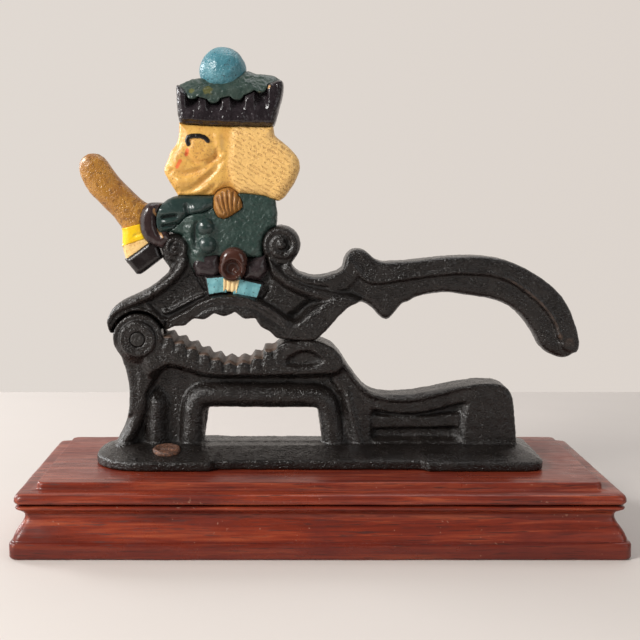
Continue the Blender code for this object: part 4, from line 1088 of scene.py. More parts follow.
def build_board(name, ring, rises, drops, lumps):
    """A moulded board; its profile has insets and heights over its underside or below its top."""
    low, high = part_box(f"plinth_{name}")
    profile = [(inset, low.z + rise) for inset, rise in rises]
    profile += [(inset, high.z - drop) for inset, drop in drops]
    profile += [(inset, high.z) for inset in FLAT_INSETS]
    board = loft(name, ring, profile)
    finer = {"levels": 1, "render_levels": 1, "subdivision_type": "SIMPLE"}
    modified(board, ("SUBSURF", finer))
    for lump, rise, seed in lumps:
        roughened(board, lump, rise, seed=seed)
    moved_to(board, np.clip(coordinates(board), np.array(low), np.array(high)))
    edge_marks(board, reach=2, gain=2.0)
    dressed(board, WOOD, "base", "stained_wood", f"plinth_{name}")


def build_plinth():
    low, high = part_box("plinth_bottom_board")
    ring = board_ring(high.x - low.x, high.y - low.y, BOARD_CORNER)
    build_board("bottom_board", ring, LOWER_RISES, LOWER_DROPS, LOWER_LUMPS)
    build_board("top_board", ring, UPPER_RISES, UPPER_DROPS, UPPER_LUMPS)


# Frame casting, in millimetres from the pivot

COLUMN_FIELD = (
    (-22, 8), (4, 8), (12, -4), (13, -12.5), (9.0, -18.0), (5.4, -23.4), (2.8, -30), (0.6, -38), (-22, -42),
)
JAW_FACE_LOW = (
    (0, 6), (30, 6), (66, 2), (88, 4), (95, -2), (100, -9), (98, -16.8), (88, -18.2), (70, -18.6),
    (50, -18.8), (38, -18.8), (30.0, -17.8), (24.4, -16.0), (19.6, -14.2), (12.6, -13.2), (5.0, -18.0),
    (2.0, -10),
)
SHOULDER = (
    (88, 0), (97, -6), (106, -18), (112, -25), (117, -30), (113.5, -36), (113, -60), (98.5, -60), (99, -38),
    (96.5, -27), (92, -18),
)
REST_BAND = (
    (104, -12), (112, -24), (126, -24), (150, -20), (200, -14), (200, -60), (168, -60), (166, -31.0),
    (158, -31.6), (151, -33.6), (139, -37.0), (127, -37.6), (117, -36.2), (110, -33.6),
)
REST_BLOCK = ((160.0, -24), (172, -20), (200, -14), (200, -60), (155.2, -60), (156.0, -42), (157.6, -31))
REST_SHELF = ((112.0, -37.9), (127, -38.4), (142, -38.4), (156.0, -36.8), (156.0, -44.2), (113.8, -44.8))
REST_SILL = ((112.5, -49.8), (157.5, -49.8), (158.5, -60), (112, -60))
ALMOND = (
    (70.6, -12.4), (72.2, -9.4), (75.5, -6.6), (81, -5.4), (85.5, -6.8), (89.2, -10.4), (85, -12.8),
    (76, -13.2),
)
COLUMN_RIDGE = ((0.6, -16), (0.9, -24), (0.0, -33.5), (-2.3, -41.4), (-5.6, -48.5), (-10, -56))
SECOND_RIDGE = ((8.2, -32.0), (8.0, -35), (7.7, -42.2), (8.0, -50), (8.3, -56))
WINDOW_ROLL = (
    (24.6, -56), (25.0, -50), (25.5, -41), (26.3, -34.4), (28.8, -29.8), (33.6, -28.4), (48.9, -28.5),
    (68.3, -28.7), (83.5, -28.9), (88.8, -30.4), (91.6, -34.4), (93.5, -44), (96.0, -56),
)
WINDOW_SIDE = ((97.4, -28), (99.6, -38), (102.0, -52))
ALMOND_LIP = ((71.0, -12.2), (75.5, -6.8), (81, -5.4), (87.0, -8.0), (89.6, -10.6))
FOOT_FILLET = ((-16, -55.5), (8, -56), (30, -55.5))
EAR_WEDGE = ((-9.4, -6.0), (-4, 0), (0, 0), (12.6, -2.4), (13, -8), (8, -13), (-7.4, -13))
EAR_RADIUS = 12.0
EAR_REACH = 12.2
EAR_DEPTH = 12.0
COLLAR_REACH = 13.2
COLLAR_LOW = -9
COLLAR_DEPTH = 11.5
PIN_RADIUS = 3.6
PIN_PLAY = 0.1
PIN_HALF = 14.3
TONGUE_ROOM = (12.6, 4.8)  # radius and half depth of the room between the ears
WINDOW_FLOOR = -52  # holes that start above it are real openings
FOOT_SPARE = 0.0006  # of the foot that is kept above the screws
FRAME_VOXEL = 0.00055
RIGHT_RIDGE = ((101.6, -28.4), (103.3, -37.2), (105.3, -44.6), (107.3, -52.1), (108, -57))
SLOPE_FLANGE = ((88.6, -0.6), (93.2, -4.8), (99.2, -13.2), (104.8, -20.8), (109.6, -25.8), (114.4, -28.4))
SLOPE_GROOVE = ((92.0, 0.4), (97.3, -6.2), (102.9, -14.4), (108.2, -21.6), (112.4, -25.8), (117.0, -27.8))
SADDLE_FLANGE = (
    (109.6, -25.8), (114.4, -28.4), (119.2, -29.6), (126.5, -30.2), (136.2, -29.4), (145.9, -26.9),
    (155.5, -24.4), (165.2, -22.6), (171.6, -21.8), (175.4, -23.4), (177.0, -27.6),
)
SADDLE_LINE = (
    (117.0, -27.8), (121.2, -28.2), (127.5, -28.5), (136.2, -27.6), (145.9, -25.2), (155.5, -22.8),
    (165.2, -21.0), (172.0, -20.4),
)
TOOTH_LINE = ((12, 1.0), (22.6, -3.7), (34.3, -9.4), (42.7, -12.3), (52.3, -12.0), (59.2, -9.2), (65, -5.2))


def tooth_valleys(count=9, length=3.0):
    """Short lines down the jaw's face below the valleys between its teeth."""
    path = curve(TOOTH_LINE, step=0.2)
    reach = np.concatenate([[0], np.cumsum(np.hypot(*np.diff(path, axis=0).T))])
    for share in np.arange(count + 1) / count:
        place = np.array([np.interp(reach[-1] * share, reach, along) for along in path.T])
        yield np.array([place + (0, 1.0), place - (0.15, length)])


def ear_depth(away, z):
    """The ears over the distance from the pin: a raised disc in a bead, and a lip at the rim."""
    disc = 2.0 * (1 - eased(away, 8.4, 9.1))
    bead = 0.3 * np.exp(-((away - 7.9) / 0.6) ** 2)
    thinner_below = 2.0 * eased(away, 9.4, EAR_REACH) * (1 - eased(z, -6, 0))
    lip = 0.9 * np.exp(-((away - 11.0) / 0.8) ** 2) * eased(z, -5, 1)
    return EAR_DEPTH + disc + bead - thinner_below + lip


def frame_relief(relief):
    x, z = relief.points.T
    away = np.hypot(x, z)
    relief.depth[:] = 4.4
    relief.field(COLUMN_FIELD, 9.8, slope=3.0)
    relief.field(SHOULDER, 8.6, slope=3.6)
    relief.field(REST_BAND, 9.2, slope=2.0)
    relief.field(REST_SILL, 8.4, slope=3.0)
    relief.field(REST_SHELF, 7.2, slope=1.8)
    relief.field(REST_BLOCK, 9.6, slope=6.0)
    relief.field(JAW_FACE_LOW, 12.6, slope=3.8)
    relief.field(ALMOND, 9.6, slope=2.6)
    relief.swell(ALMOND_LIP, 1.6, 0.6)
    relief.rib(COLUMN_RIDGE, 3.6, 9.9, foot=3.6)
    relief.swell(SECOND_RIDGE, 7.4, 5.4)
    relief.rib(WINDOW_ROLL, 6.2, 10.2, foot=3.2)
    relief.swell(FOOT_FILLET, 5.0, 2.2)
    relief.rib(RIGHT_RIDGE, 3.0, 9.7, foot=4.0)
    relief.swell(WINDOW_SIDE, 2.6, -1.8)
    relief.rib(SLOPE_FLANGE, 1.5, 10.6, foot=7.0, fillet=0.8)
    relief.groove(SLOPE_GROOVE, 0.9, 0.9)
    relief.rib(SADDLE_FLANGE, 1.5, 10.3, foot=7.0, fillet=0.8)
    relief.groove(SADDLE_LINE, 0.8, 0.7)
    for valley in tooth_valleys():
        relief.groove(valley, 1.3, 1.3)
    relief.rim(1.6)
    ear = np.maximum(relief.depth, ear_depth(away, z))
    relief.depth = np.where(away < EAR_REACH, ear, relief.depth)
    outside = (away >= EAR_REACH) & (away < COLLAR_REACH) & (z > COLLAR_LOW)
    share = eased(away, EAR_RADIUS, COLLAR_REACH)
    collar = relief.depth * share + COLLAR_DEPTH * (1 - share)
    relief.depth = np.where(outside, collar, relief.depth)


def frame_foot():
    """The foot of the CAD solid, cut off just above its screws."""
    shape = cad_shape("frame_casting")
    cut_rims = cut_at(shape, (0, 0, SCREW_TOP + FOOT_SPARE), (0, 0, 1), clear_outer=True)["geom_cut"]
    rims = [part for part in cut_rims if isinstance(part, bmesh.types.BMEdge)]
    bmesh.ops.holes_fill(shape, edges=rims)
    return made("foot", shape)


def tongue_cutter():
    """A disc across the pivot, for the room between the ears."""
    radius, half_depth = TONGUE_ROOM
    x, z = circle((0, 0), radius, count=64).T
    shape = bmesh.new()
    rings = []
    for y in (-half_depth, half_depth):
        rings.append([shape.verts.new(place) for place in to_row(x, np.full(len(x), y), z)])
    return made("tongue_room", closed_solid(shape, rings))


def build_frame():
    upright = [softened(loop) for loop in section("frame_casting")]
    outer = widest(upright)
    inner = [loop for loop in upright if loop is not outer and within(loop[:1], outer)[0]]
    holes = [loop for loop in inner if loop[:, 1].min() > WINDOW_FLOOR]
    holes.append(circle((0, 0), PIN_RADIUS + PIN_PLAY, count=32))
    loops = [grown(outer, CASTING_GROWTH), np.array(EAR_WEDGE), circle((0, 0), EAR_RADIUS, count=72)]
    body = slab("frame", loops, frame_relief, holes=holes, cell=0.6)
    joined(body, frame_foot())
    modified(body, ("REMESH", {"mode": "VOXEL", "voxel_size": FRAME_VOXEL}))
    smoothed(body, 3)
    roughened(body, 5.0, 0.20, seed=1.0)
    roughened(body, 1.3, 0.13, seed=2.0)
    room = tongue_cutter()
    modified(body, ("BOOLEAN", {"operation": "DIFFERENCE", "solver": "EXACT", "object": room}))
    bpy.data.objects.remove(room)
    modified(body, ("DECIMATE", {"ratio": 0.5}))
    edge_marks(body, reach=3, gain=3.4)
    gap = apart(flat_places(body), curve(TOOTH_LINE))
    upward = eased(coordinates(body, "normal")[:, 2], 0.1, 0.6)
    stored(body, "browned", np.clip(1.5 - gap / 2.4, 0, 1) * upward)
    dressed(body, IRON, "base", "black_iron", "frame_casting")


def pin_relief(relief):
    relief.depth[:] = PIN_HALF
    relief.rim(0.7)


def build_pin():
    pin = slab("hinge_pin", [circle((0, 0), PIN_RADIUS)], pin_relief, cell=0.4, rows=6)
    smoothed(pin, 2)
    roughened(pin, 1.8, 0.06, seed=4.0)
    edge_marks(pin)
    dressed(pin, STEEL, "base", "dark_steel", "pivot_pin")


# Lever casting, in millimetres from the pivot

LEFT_SCROLL = (18.0, 43.8)
RIGHT_SCROLL = (69.0, 45.1)
LEFT_SPIRAL = spiral(LEFT_SCROLL, 5.1, 1.6, -50, 430)
RIGHT_SPIRAL = spiral(RIGHT_SCROLL, 8.2, 3.0, 205, -280)
HANDLE_START = 100  # where the handle's web is thinner than the lever's
HANDLE_TIP = (208, -2)
KNOB = (100.2, 38.4)
TONGUE_HALF = 4.5
JAW_FACE = (
    (11, -2), (13.5, 6), (16.0, 8.8), (20.6, 11.6), (24.5, 13.6), (29.6, 16.8), (34.8, 19.0), (39.3, 19.9),
    (45.8, 20.1), (52.8, 19.4), (58.6, 17.2), (65.1, 13.6), (70.2, 9.9), (74.7, 8.2), (78.6, 10.4),
    (82.0, 14.2), (87.0, 17.0), (93.5, 20.0), (100, 21.5), (107, 19), (104, 9), (96, 0), (88, -6), (70, -6),
    (40, 0),
)
NECK = (
    (84, 20), (92, 22), (101, 23), (106, 30), (112, 40), (104, 50), (92, 44), (80, 36), (74, 30), (78, 24),
)
HANDLE_BAND = (
    (104, 46), (116, 44), (140, 46), (170, 46), (192, 38), (208, 24), (217, 4), (214, -8), (205, -6),
    (203.2, 0.5), (200.6, 7.6), (195.3, 15.0), (188.2, 21.4), (181.0, 26.4), (173.9, 29.6), (164.2, 31.2),
    (152.2, 31.5), (140.3, 30.3), (125.9, 28.3), (116.3, 27.0), (110.6, 27.6), (105.5, 33.5), (101, 40),
)
HANDLE_LINE = (
    (103.4, 36.0), (106.4, 31.4), (110.4, 28.0), (116.3, 27.3), (125.9, 28.7), (140.3, 30.7), (152.2, 31.9),
    (164.2, 31.6), (173.9, 30.1), (181.1, 26.8), (188.4, 21.7), (195.6, 15.3), (200.9, 7.9), (203.4, 0.9),
)
MIDDLE_FIELD = (
    (25.6, 42), (26.6, 31), (32.0, 22.2), (38, 22.2), (56.0, 22.0), (60.0, 18.6), (65.0, 26), (62, 42),
)
LEFT_RIM = (
    (-15.4, 0.6), (-15.2, 7.0), (-12.4, 12.0), (-7.6, 15.2), (-2.8, 17.4), (3.5, 20.1), (8.9, 23.2),
    (13.4, 26.4), (17.6, 30.3), (20.6, 34.4), (22.0, 38.4),
)
HOOD = ((-19, -2), (-19, 12), (-10, 20), (0, 21), (5, 17), (12, 9), (11, 4), (0, 0))
RING_LIP = spiral((0, 0), 13.9, 13.9, 155, 32, count=40)
PANEL_LINE = ((3.2, 17.2), (7.0, 13.4), (10.2, 10.2), (14.7, 8.6), (16.8, 9.0))
ARCH_LINE = (
    (15.8, 8.6), (20.6, 11.3), (24.5, 13.3), (29.6, 16.5), (34.8, 18.7), (39.3, 19.6), (45.8, 19.8),
    (52.8, 19.1), (58.6, 16.9), (65.1, 13.3), (70.2, 9.6), (75.0, 7.6),
)
ARCH_INNER = (
    (19.0, 7.4), (24.5, 9.6), (30.0, 12.8), (35.2, 15.2), (41.0, 16.2), (47.0, 16.2), (53.2, 15.2),
    (59.0, 12.6), (64.6, 8.8), (70.0, 5.6),
)
UPPER_LINE = ((12.6, 12.6), (15.4, 13.2), (20.6, 15.8), (25.8, 18.6), (31.0, 20.8))
BEVEL = ((74.6, 9.6), (77.4, 11.6), (80.6, 14.4), (84.6, 16.4))
RIGHT_STEM = (
    (96, 19.5), (91, 20.2), (85, 21.8), (78.4, 24.2), (72.2, 27.4), (66.8, 31.8), (62.6, 37.0),
    (60.9, 42.6),
)
STEM_LINE = ((64.6, 40.0), (66.0, 36.2), (69.0, 32.4), (73.4, 29.2), (79.5, 26.6), (86, 25.0), (91, 24.4))
NECK_TOP = ((72.6, 33.6), (75.6, 30.4), (80.6, 28.2), (87.3, 27.2), (93.6, 28.6), (97.6, 32.4))


def lever_relief(relief):
    x, z = relief.points.T
    away = np.hypot(x, z)
    relief.depth = np.where(x > HANDLE_START, relief.pillow(4.4, 7.3, 5.0), 7.2)
    relief.field(HOOD, 9.0, slope=2.0)
    relief.field(NECK, 9.4, slope=3.0)
    relief.field(JAW_FACE, 12.5, slope=3.6)
    relief.rib(LEFT_RIM, 3.1, 12.1, foot=5.0)
    relief.rib(PANEL_LINE, 1.3, 9.6, foot=5.0)
    relief.rib(UPPER_LINE, 1.3, 9.0, foot=5.0)
    relief.rib(RING_LIP, 1.6, 10.6, foot=6.0)
    relief.rib(ARCH_LINE, 1.6, 13.0, foot=8.0)
    relief.groove(ARCH_INNER, 1.2, 0.55)
    relief.swell(BEVEL, 4.4, -2.8)
    relief.rib(RIGHT_STEM, 3.6, 11.6, foot=5.0)
    relief.rib(NECK_TOP, 4.2, 10.4, foot=5.0)
    relief.groove(STEM_LINE, 1.0, 0.9)
    relief.boss(KNOB, 6.2, 10.2, slope=3.5)
    relief.field(HANDLE_BAND, 9.0, slope=1.3)
    relief.rib(HANDLE_LINE, 1.5, 9.5, foot=6.0)
    relief.field(MIDDLE_FIELD, 5.9, slope=1.0)
    scroll_relief(relief, LEFT_SCROLL, 6.5, LEFT_SPIRAL, 1.5, 1.7)
    scroll_relief(relief, RIGHT_SCROLL, 9.2, RIGHT_SPIRAL, 2.2, 2.6)
    relief.rim(1.7)
    tongue = eased(away, 12.35, 13.5)
    relief.depth = TONGUE_HALF + (relief.depth - TONGUE_HALF) * tongue


def scroll_relief(relief, centre, radius, path, half_width, eye):
    away = np.hypot(*(relief.points - np.array(centre)).T)
    inside = 1 - eased(away, radius - 0.4, radius + 0.4)
    relief.depth += (9.4 - relief.depth) * inside
    kept = relief.depth.copy()
    relief.rib(path, half_width, 11.3, foot=8.6, fillet=0.7)
    dome = 10.2 + 2.6 * np.sqrt(np.clip(1 - (away / eye) ** 2, 0, 1))
    raised = np.where(away < eye, np.maximum(relief.depth, dome), relief.depth)
    relief.depth = kept + (raised - kept) * inside


def build_lever():
    loops = [softened(loop) for loop in section("lever_casting")]
    outer = widest(loops)
    holes = [loop for loop in loops if loop is not outer]
    lever = slab("lever", [grown(outer, CASTING_GROWTH)], lever_relief, holes=holes, rows=14)
    smoothed(lever, 3)
    roughened(lever, 5.0, 0.18, seed=21.0)
    roughened(lever, 1.3, 0.10, seed=22.0)
    edge_marks(lever, reach=3, gain=3.4)
    flat = flat_places(lever)
    gap = apart(flat, curve(HANDLE_LINE))
    grip = 0.52 * np.clip(1.15 - gap / 2.0, 0, 1) * eased(flat[:, 0], 168, 182)
    tip = 0.5 * np.clip(1.2 - np.hypot(*(flat - HANDLE_TIP).T) / 6, 0, 1)
    stored(lever, "browned", np.clip(grip + tip, 0, 1))
    dressed(lever, IRON, "lever", "black_iron", "lever_casting")


# The figure, in millimetres from the pivot

FINE_LUMPS = ((4.0, 0.12), (1.5, 0.06))
GROWTH = 0.30  # of each outline, which smoothing and the rounded edge take off again
SEAT = 6.3  # where the pieces on each face of the lever start
OUTLINE_AHEAD = 1.0  # of the seat, where the outline of such a piece is taken
CAP_STEP = 0.6
CAP_ROUNDS = 9


def figure_piece(
    name, node, shaping, finish, slot, cell=0.5, rounds=2,
    lumps=FINE_LUMPS, seat=None, joins=(), marks=None, growth=GROWTH, patches=(),
):
    """A painted casting on the outline of its CAD solid; it runs on into the nodes that it joins."""
    y = 0.0 if seat is None else -(seat + OUTLINE_AHEAD) * MM
    outer = grown(outline_of(node, y), growth)
    neighbours = [outline_of(other, y) for other in joins]
    piece = slab(name, [outer, *patches], shaping, cell=cell, seat=seat, joins=neighbours)
    smoothed(piece, rounds)
    for step, (lump, rise) in enumerate(lumps):
        roughened(piece, lump, rise, seed=31.0 + 7 * step + len(name))
    edge_marks(piece)
    if marks is not None:
        marks(piece)
    if seat is not None:
        back = mirrored(piece, name + "_back")
        dressed(back, finish, "lever", slot, node.replace("_front", "_back"))
    dressed(piece, finish, "lever", slot, node)


def outline_of(node, y=0.0):
    """The outer outline of a CAD solid in an upright plane; the cap's has round corners."""
    loop = widest([softened(loop) for loop in section(node, y)])
    if node.startswith("cap"):
        loop = spaced(loop, CAP_STEP)
        for _ in range(CAP_ROUNDS):
            loop = (np.roll(loop, 1, axis=0) + 2 * loop + np.roll(loop, -1, axis=0)) / 4
    return loop


def flat_places(obj):
    """Where the points of a piece lie, in millimetres of (x, z) from the pivot."""
    places = coordinates(obj)
    return np.stack([(places[:, 0] - PIVOT.x) / MM, (places[:, 2] - PIVOT.z) / MM], axis=1)


def lined(obj, name, paths, half_width):
    """Stores a painted line along some paths."""
    flat = flat_places(obj)
    gap = np.min([apart(flat, curve(path)) for path in paths], axis=0)
    stored(obj, name, np.clip(1 - 0.5 * gap / half_width, 0, 1))


def domed(low, high, reach, swells=(), grooves=()):
    """A shaping: a pillow, with soft rises and grooves as (path, half width, height)."""

    def shaping(relief):
        relief.depth = relief.pillow(low, high, reach)
        for path, half_width, rise in swells:
            relief.swell(path, half_width, rise)
        for path, half_width, drop in grooves:
            relief.groove(path, half_width, drop)

    return shaping


EYE = ((25.0, 92.8), (24.5, 94.6), (25.3, 96.0), (27.3, 96.5), (30.4, 96.4), (32.8, 95.6), (34.1, 94.3))
DASHES = (((24.5, 90.0), (23.9, 87.8)), ((21.1, 84.9), (19.5, 81.9)))
HAIR_EDGE = (
    (44.6, 101), (43.8, 94.9), (43.3, 89.3), (42.8, 83.2), (43.7, 77.1), (45.5, 71.5), (48.4, 67.5),
)
HAIR_KNOTS = ((67.5, 71.5, 77.1, 83.2, 94.9, 101), (48.4, 45.5, 43.7, 42.8, 43.8, 44.6))
CREASES = (
    (((24.4, 87.6), (27.2, 84.8), (30.5, 83.6), (34.3, 84.3), (37.6, 86.8), (38.6, 90.0)), 1.9, 0.9),
    (((16.8, 79.7), (21.0, 78.5), (25.7, 79.2), (31.4, 81.3), (36.1, 84.0), (40.0, 88.4)), 2.3, 0.95),
    (((19.9, 70.7), (24.7, 70.9), (28.5, 72.5), (32.3, 75.8), (36.1, 79.6), (40.2, 84.6)), 2.4, 0.95),
    (((23.7, 67.4), (29.4, 68.2), (34.2, 70.6), (37.4, 73.6)), 1.5, 0.6),
    (((13.4, 81.6), (17.0, 80.5)), 1.4, 0.6),
)
FOLDS = (
    (((19.0, 84.5), (22.5, 82.4), (27.0, 81.6), (32.0, 82.6)), 2.6, 0.7),
    (((20.6, 75.2), (26.0, 75.6), (31.0, 78.2), (36.0, 81.6)), 2.8, 0.7),
    (((24.0, 69.4), (29.5, 70.2), (34.0, 73.0)), 2.0, 0.4),
    (((28.5, 90.6), (32.5, 89.0)), 5.2, 0.9),
    (((38.8, 96.0), (40.2, 89.0), (40.6, 82.0)), 2.6, 0.5),
)


def behind_hair_edge(x, z):
    return x - np.interp(z, *HAIR_KNOTS)


def head_relief(relief):
    domed(5.6, 10.3, 5.4)(relief)
    relief.depth += 0.4 * eased(behind_hair_edge(*relief.points.T), -3.0, 4.5) - 0.3
    relief.swell(HAIR_EDGE, 4.0, -0.45)
    for path, half_width, rise in FOLDS:
        relief.swell(path, half_width, rise)
    for path, half_width, drop in CREASES:
        relief.groove(path, half_width, drop)
    relief.rib(EYE, 1.1, 11.0, foot=10.4, fillet=0.4)
    relief.depth = np.minimum(relief.depth, 10.9)


def head_marks(head):
    stored(head, "hair", eased(behind_hair_edge(*flat_places(head).T), -2.5, 4.5))
    lined(head, "eye", [EYE], 1.1)
    lined(head, "blush", DASHES, 0.8)


FLUTES = (  # middle, top, bottom and half width of each
    (27.0, 115.2, 107.6, 3.2),
    (37.2, 114.2, 107.4, 3.8),
    (48.4, 115.8, 107.0, 3.6),
    (59.6, 118.6, 107.8, 3.4),
)
FLUTE_DEPTH = 5.2
CAP_LEAST = 3.0
CAP_HEM = ((20.6, 103.6), (36, 102.6), (52, 102.0), (64.5, 101.6))


def cap_relief(relief):
    x, z = relief.points.T
    domed(7.6, 11.4, 2.8)(relief)
    for middle, top, bottom, width in FLUTES:
        across = np.clip(1 - ((x - middle) / width) ** 2, 0, 1) ** 0.8
        relief.depth -= FLUTE_DEPTH * across * eased(z, bottom, top - 1.5)
    relief.depth = np.maximum(relief.depth, CAP_LEAST)
    relief.groove(CAP_HEM, 1.2, 0.9)


CROWN_RISE = 8.0
CROWN_SLOPE = 8.2


def crown_relief(relief):
    """It slopes back to its top, so that the ball stands out of it."""
    relief.depth = CAP_LEAST + CROWN_RISE * np.clip(relief.edge / CROWN_SLOPE, 0, 1) ** 0.75


BAND_FOLD = (((-1.5, 49.4), (2.0, 50.6), (5.6, 52.6)), 1.0, 0.5)
CUFF_SEAM = (((9.4, 63.5), (8.8, 60.0), (9.6, 56.6), (9.2, 52.4), (11.2, 48.8)), 0.8, 0.7)
CUFF_GOLD = ((8.6, 62.0), (8.5, 60.6), (10.4, 57.1), (10.1, 52.6), (12.4, 48.8))
SLEEVE_RISES = (
    (((13.5, 61.0), (19.0, 61.6), (22.5, 60.6)), 4.6, 1.2),
    (((14.5, 55.6), (18.6, 56.4)), 3.2, 0.9),
    (((28.6, 60.6), (30.2, 61.0)), 4.8, 1.8),
)
SLEEVE_FOLDS = (
    (((12.4, 58.2), (15.6, 58.6), (18.6, 58.9)), 1.3, 2.4),
    (((12.6, 54.2), (15.4, 54.4), (18.4, 54.7)), 1.3, 2.3),
    (((23.6, 64.0), (24.4, 60.5), (24.0, 57.6)), 1.6, 1.1),
)
COAT_RISES = (
    (((27.6, 57.4), (31.5, 54.0), (33.1, 52.2)), 6.4, 2.2),
    (((32.8, 45.4), (32.7, 44.6)), 6.0, 1.9),
    (((29.6, 39.6), (32.4, 36.8), (35.0, 36.4)), 4.4, 1.7),
    (((24.8, 52.6), (26.4, 46.6), (28.4, 41.6)), 3.0, 1.1),
)
COAT_FOLD = (((28.6, 55.4), (27.4, 50.0), (28.0, 44.0)), 1.7, 1.2)
RIBBON_RISES = ((((38, 27), (37, 23)), 2.4, 0.35), (((52, 26), (52, 22)), 2.4, 0.35))
CLASP_FOLDS = [(((x, 29.6), (x - 0.5, 21.8)), 0.65, 0.6) for x in (42.8, 45.0, 47.1)]
FINGERS = (
    ((38.8, 67.6), (41.3, 60.6)), ((41.0, 69.4), (42.9, 59.6)), ((43.4, 70.4), (44.5, 59.4)),
    ((46.0, 69.8), (46.0, 60.0)), ((48.6, 68.6), (47.8, 61.0)), ((50.6, 66.4), (49.6, 62.4)),
)


def finger_lines(bow=0.3, half_width=0.95, drop=1.2):
    """The grooves between the fingers, which bow a little to the left."""
    for top, low in FINGERS:
        middle = (0.5 * (top[0] + low[0]) - bow, 0.5 * (top[1] + low[1]))
        yield (top, middle, low), half_width, drop


BOSS_FLARE = ((45.5, 34.0), 6.6)
BOSS_HOLLOW = ((45.6, 33.9), 2.6, 4.9, 3.6)  # middle, radius of its floor and its edge, depth
BOSS_NOTCH = ((47.2, 32.4), (48.9, 30.8))
BOSS_PLANE = -11.0 * MM
BOSS_SEAT = 7.5


def boss_relief(relief):
    """An arched hood over a deep hollow, which a notch opens at the lower right."""
    domed(9.6, 13.5, 3.4)(relief)
    middle, floor, edge, drop = BOSS_HOLLOW
    away = np.hypot(*(relief.points - np.array(middle)).T)
    relief.depth -= drop * (1 - eased(away, floor, edge))
    relief.swell(BOSS_NOTCH, 1.7, 2.2)


LOBES = ((26.9, 117.1), (37.0, 115.1), (48.1, 116.6), (59.1, 120.0))
LOBE_RADIUS = 3.4
BALL_ROOM = 0.9


def build_crown():
    """The crown without the CAD solid's room for the ball, which sits in it."""
    low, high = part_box("pompom")
    centre = ((low + high) / 2 - PIVOT) / MM
    room = (high.x - low.x) / MM / 2 + BALL_ROOM
    loop = outline_of("cap_crown")
    loop = loop[np.hypot(loop[:, 0] - centre.x, loop[:, 1] - centre.z) > room]
    lobes = [circle(middle, LOBE_RADIUS) for middle in LOBES]
    joins = (outline_of("cap_band"), *lobes)
    loops = [grown(loop, GROWTH), *lobes]
    crown = slab("cap_crown", loops, crown_relief, cell=0.45, joins=joins)
    smoothed(crown, 2)
    roughened(crown, 3.6, 0.3, seed=51.0)
    roughened(crown, 1.3, 0.14, seed=52.0)
    edge_marks(crown)
    dressed(crown, CROWN_GREEN, "lever", "green_paint", "cap_crown")


def cuff_marks(cuff):
    lined(cuff, "gold", [CUFF_GOLD], 0.5)


RIBBON_PLANE = -(SEAT + OUTLINE_AHEAD) * MM
RIBBON_GROWTH = 0.9
CLASP_REACH = 1.0


def ribbon_marks(ribbon):
    """The black edge round both ribbons, but not beside the clasp."""
    flat = flat_places(ribbon)
    outlines = [outline_of(f"ribbon_{side}_front", RIBBON_PLANE) for side in ("left", "right")]
    loops = [grown(outline, RIBBON_GROWTH) for outline in outlines]
    gap = np.min([apart(flat, closed(loop)) for loop in loops], axis=0)
    inside = np.any([within(flat, loop) for loop in loops], axis=0)
    beside = apart(flat, closed(outline_of("ribbon_clasp_front", RIBBON_PLANE))) < CLASP_REACH
    line = np.where(inside, np.clip(0.8 - gap, 0, 1), 1)
    stored(ribbon, "lined", np.where(beside, 0, line))


def build_cup():
    outline = softened(widest(section("boss_cup_front", BOSS_PLANE)))
    cup = slab("waist_cup", [outline, circle(*BOSS_FLARE)], boss_relief, cell=0.42, seat=BOSS_SEAT)
    smoothed(cup, 2)
    roughened(cup, 3.0, 0.10, seed=60.0)
    edge_marks(cup)
    back = mirrored(cup, "waist_cup_back")
    dressed(cup, BOSS_BROWN, "lever", "brown_paint", "boss_cup_front", "figure_rivet")
    dressed(back, BOSS_BROWN, "lever", "brown_paint", "boss_cup_back")


def build_pompom():
    """A ball with a hammered surface."""
    low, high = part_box("pompom")
    shape = bmesh.new()
    bmesh.ops.create_icosphere(shape, subdivisions=5, radius=1.0)
    for vert in shape.verts:
        vert.co = vert.co * (high - low) / 2 + (high + low) / 2
    pompom = made("pompom_ball", shape)
    roughened(pompom, 5.0, 0.25, seed=70.0)
    roughened(pompom, 1.8, 0.10, seed=71.0)
    edge_marks(pompom)
    dressed(pompom, POMPOM_BLUE, "lever", "blue_paint", "pompom")


STEM_ROOM = ((18, 48), (30, 52), (34, 36), (27, 32), (24, 36))
CUFF_ROOM = ((6, 50), (14, 52), (17, 47.5), (12, 43), (7, 45))
COAT_PATCHES = (circle(LEFT_SCROLL, 6.0), circle(RIGHT_SCROLL, 8.4), np.array(STEM_ROOM))


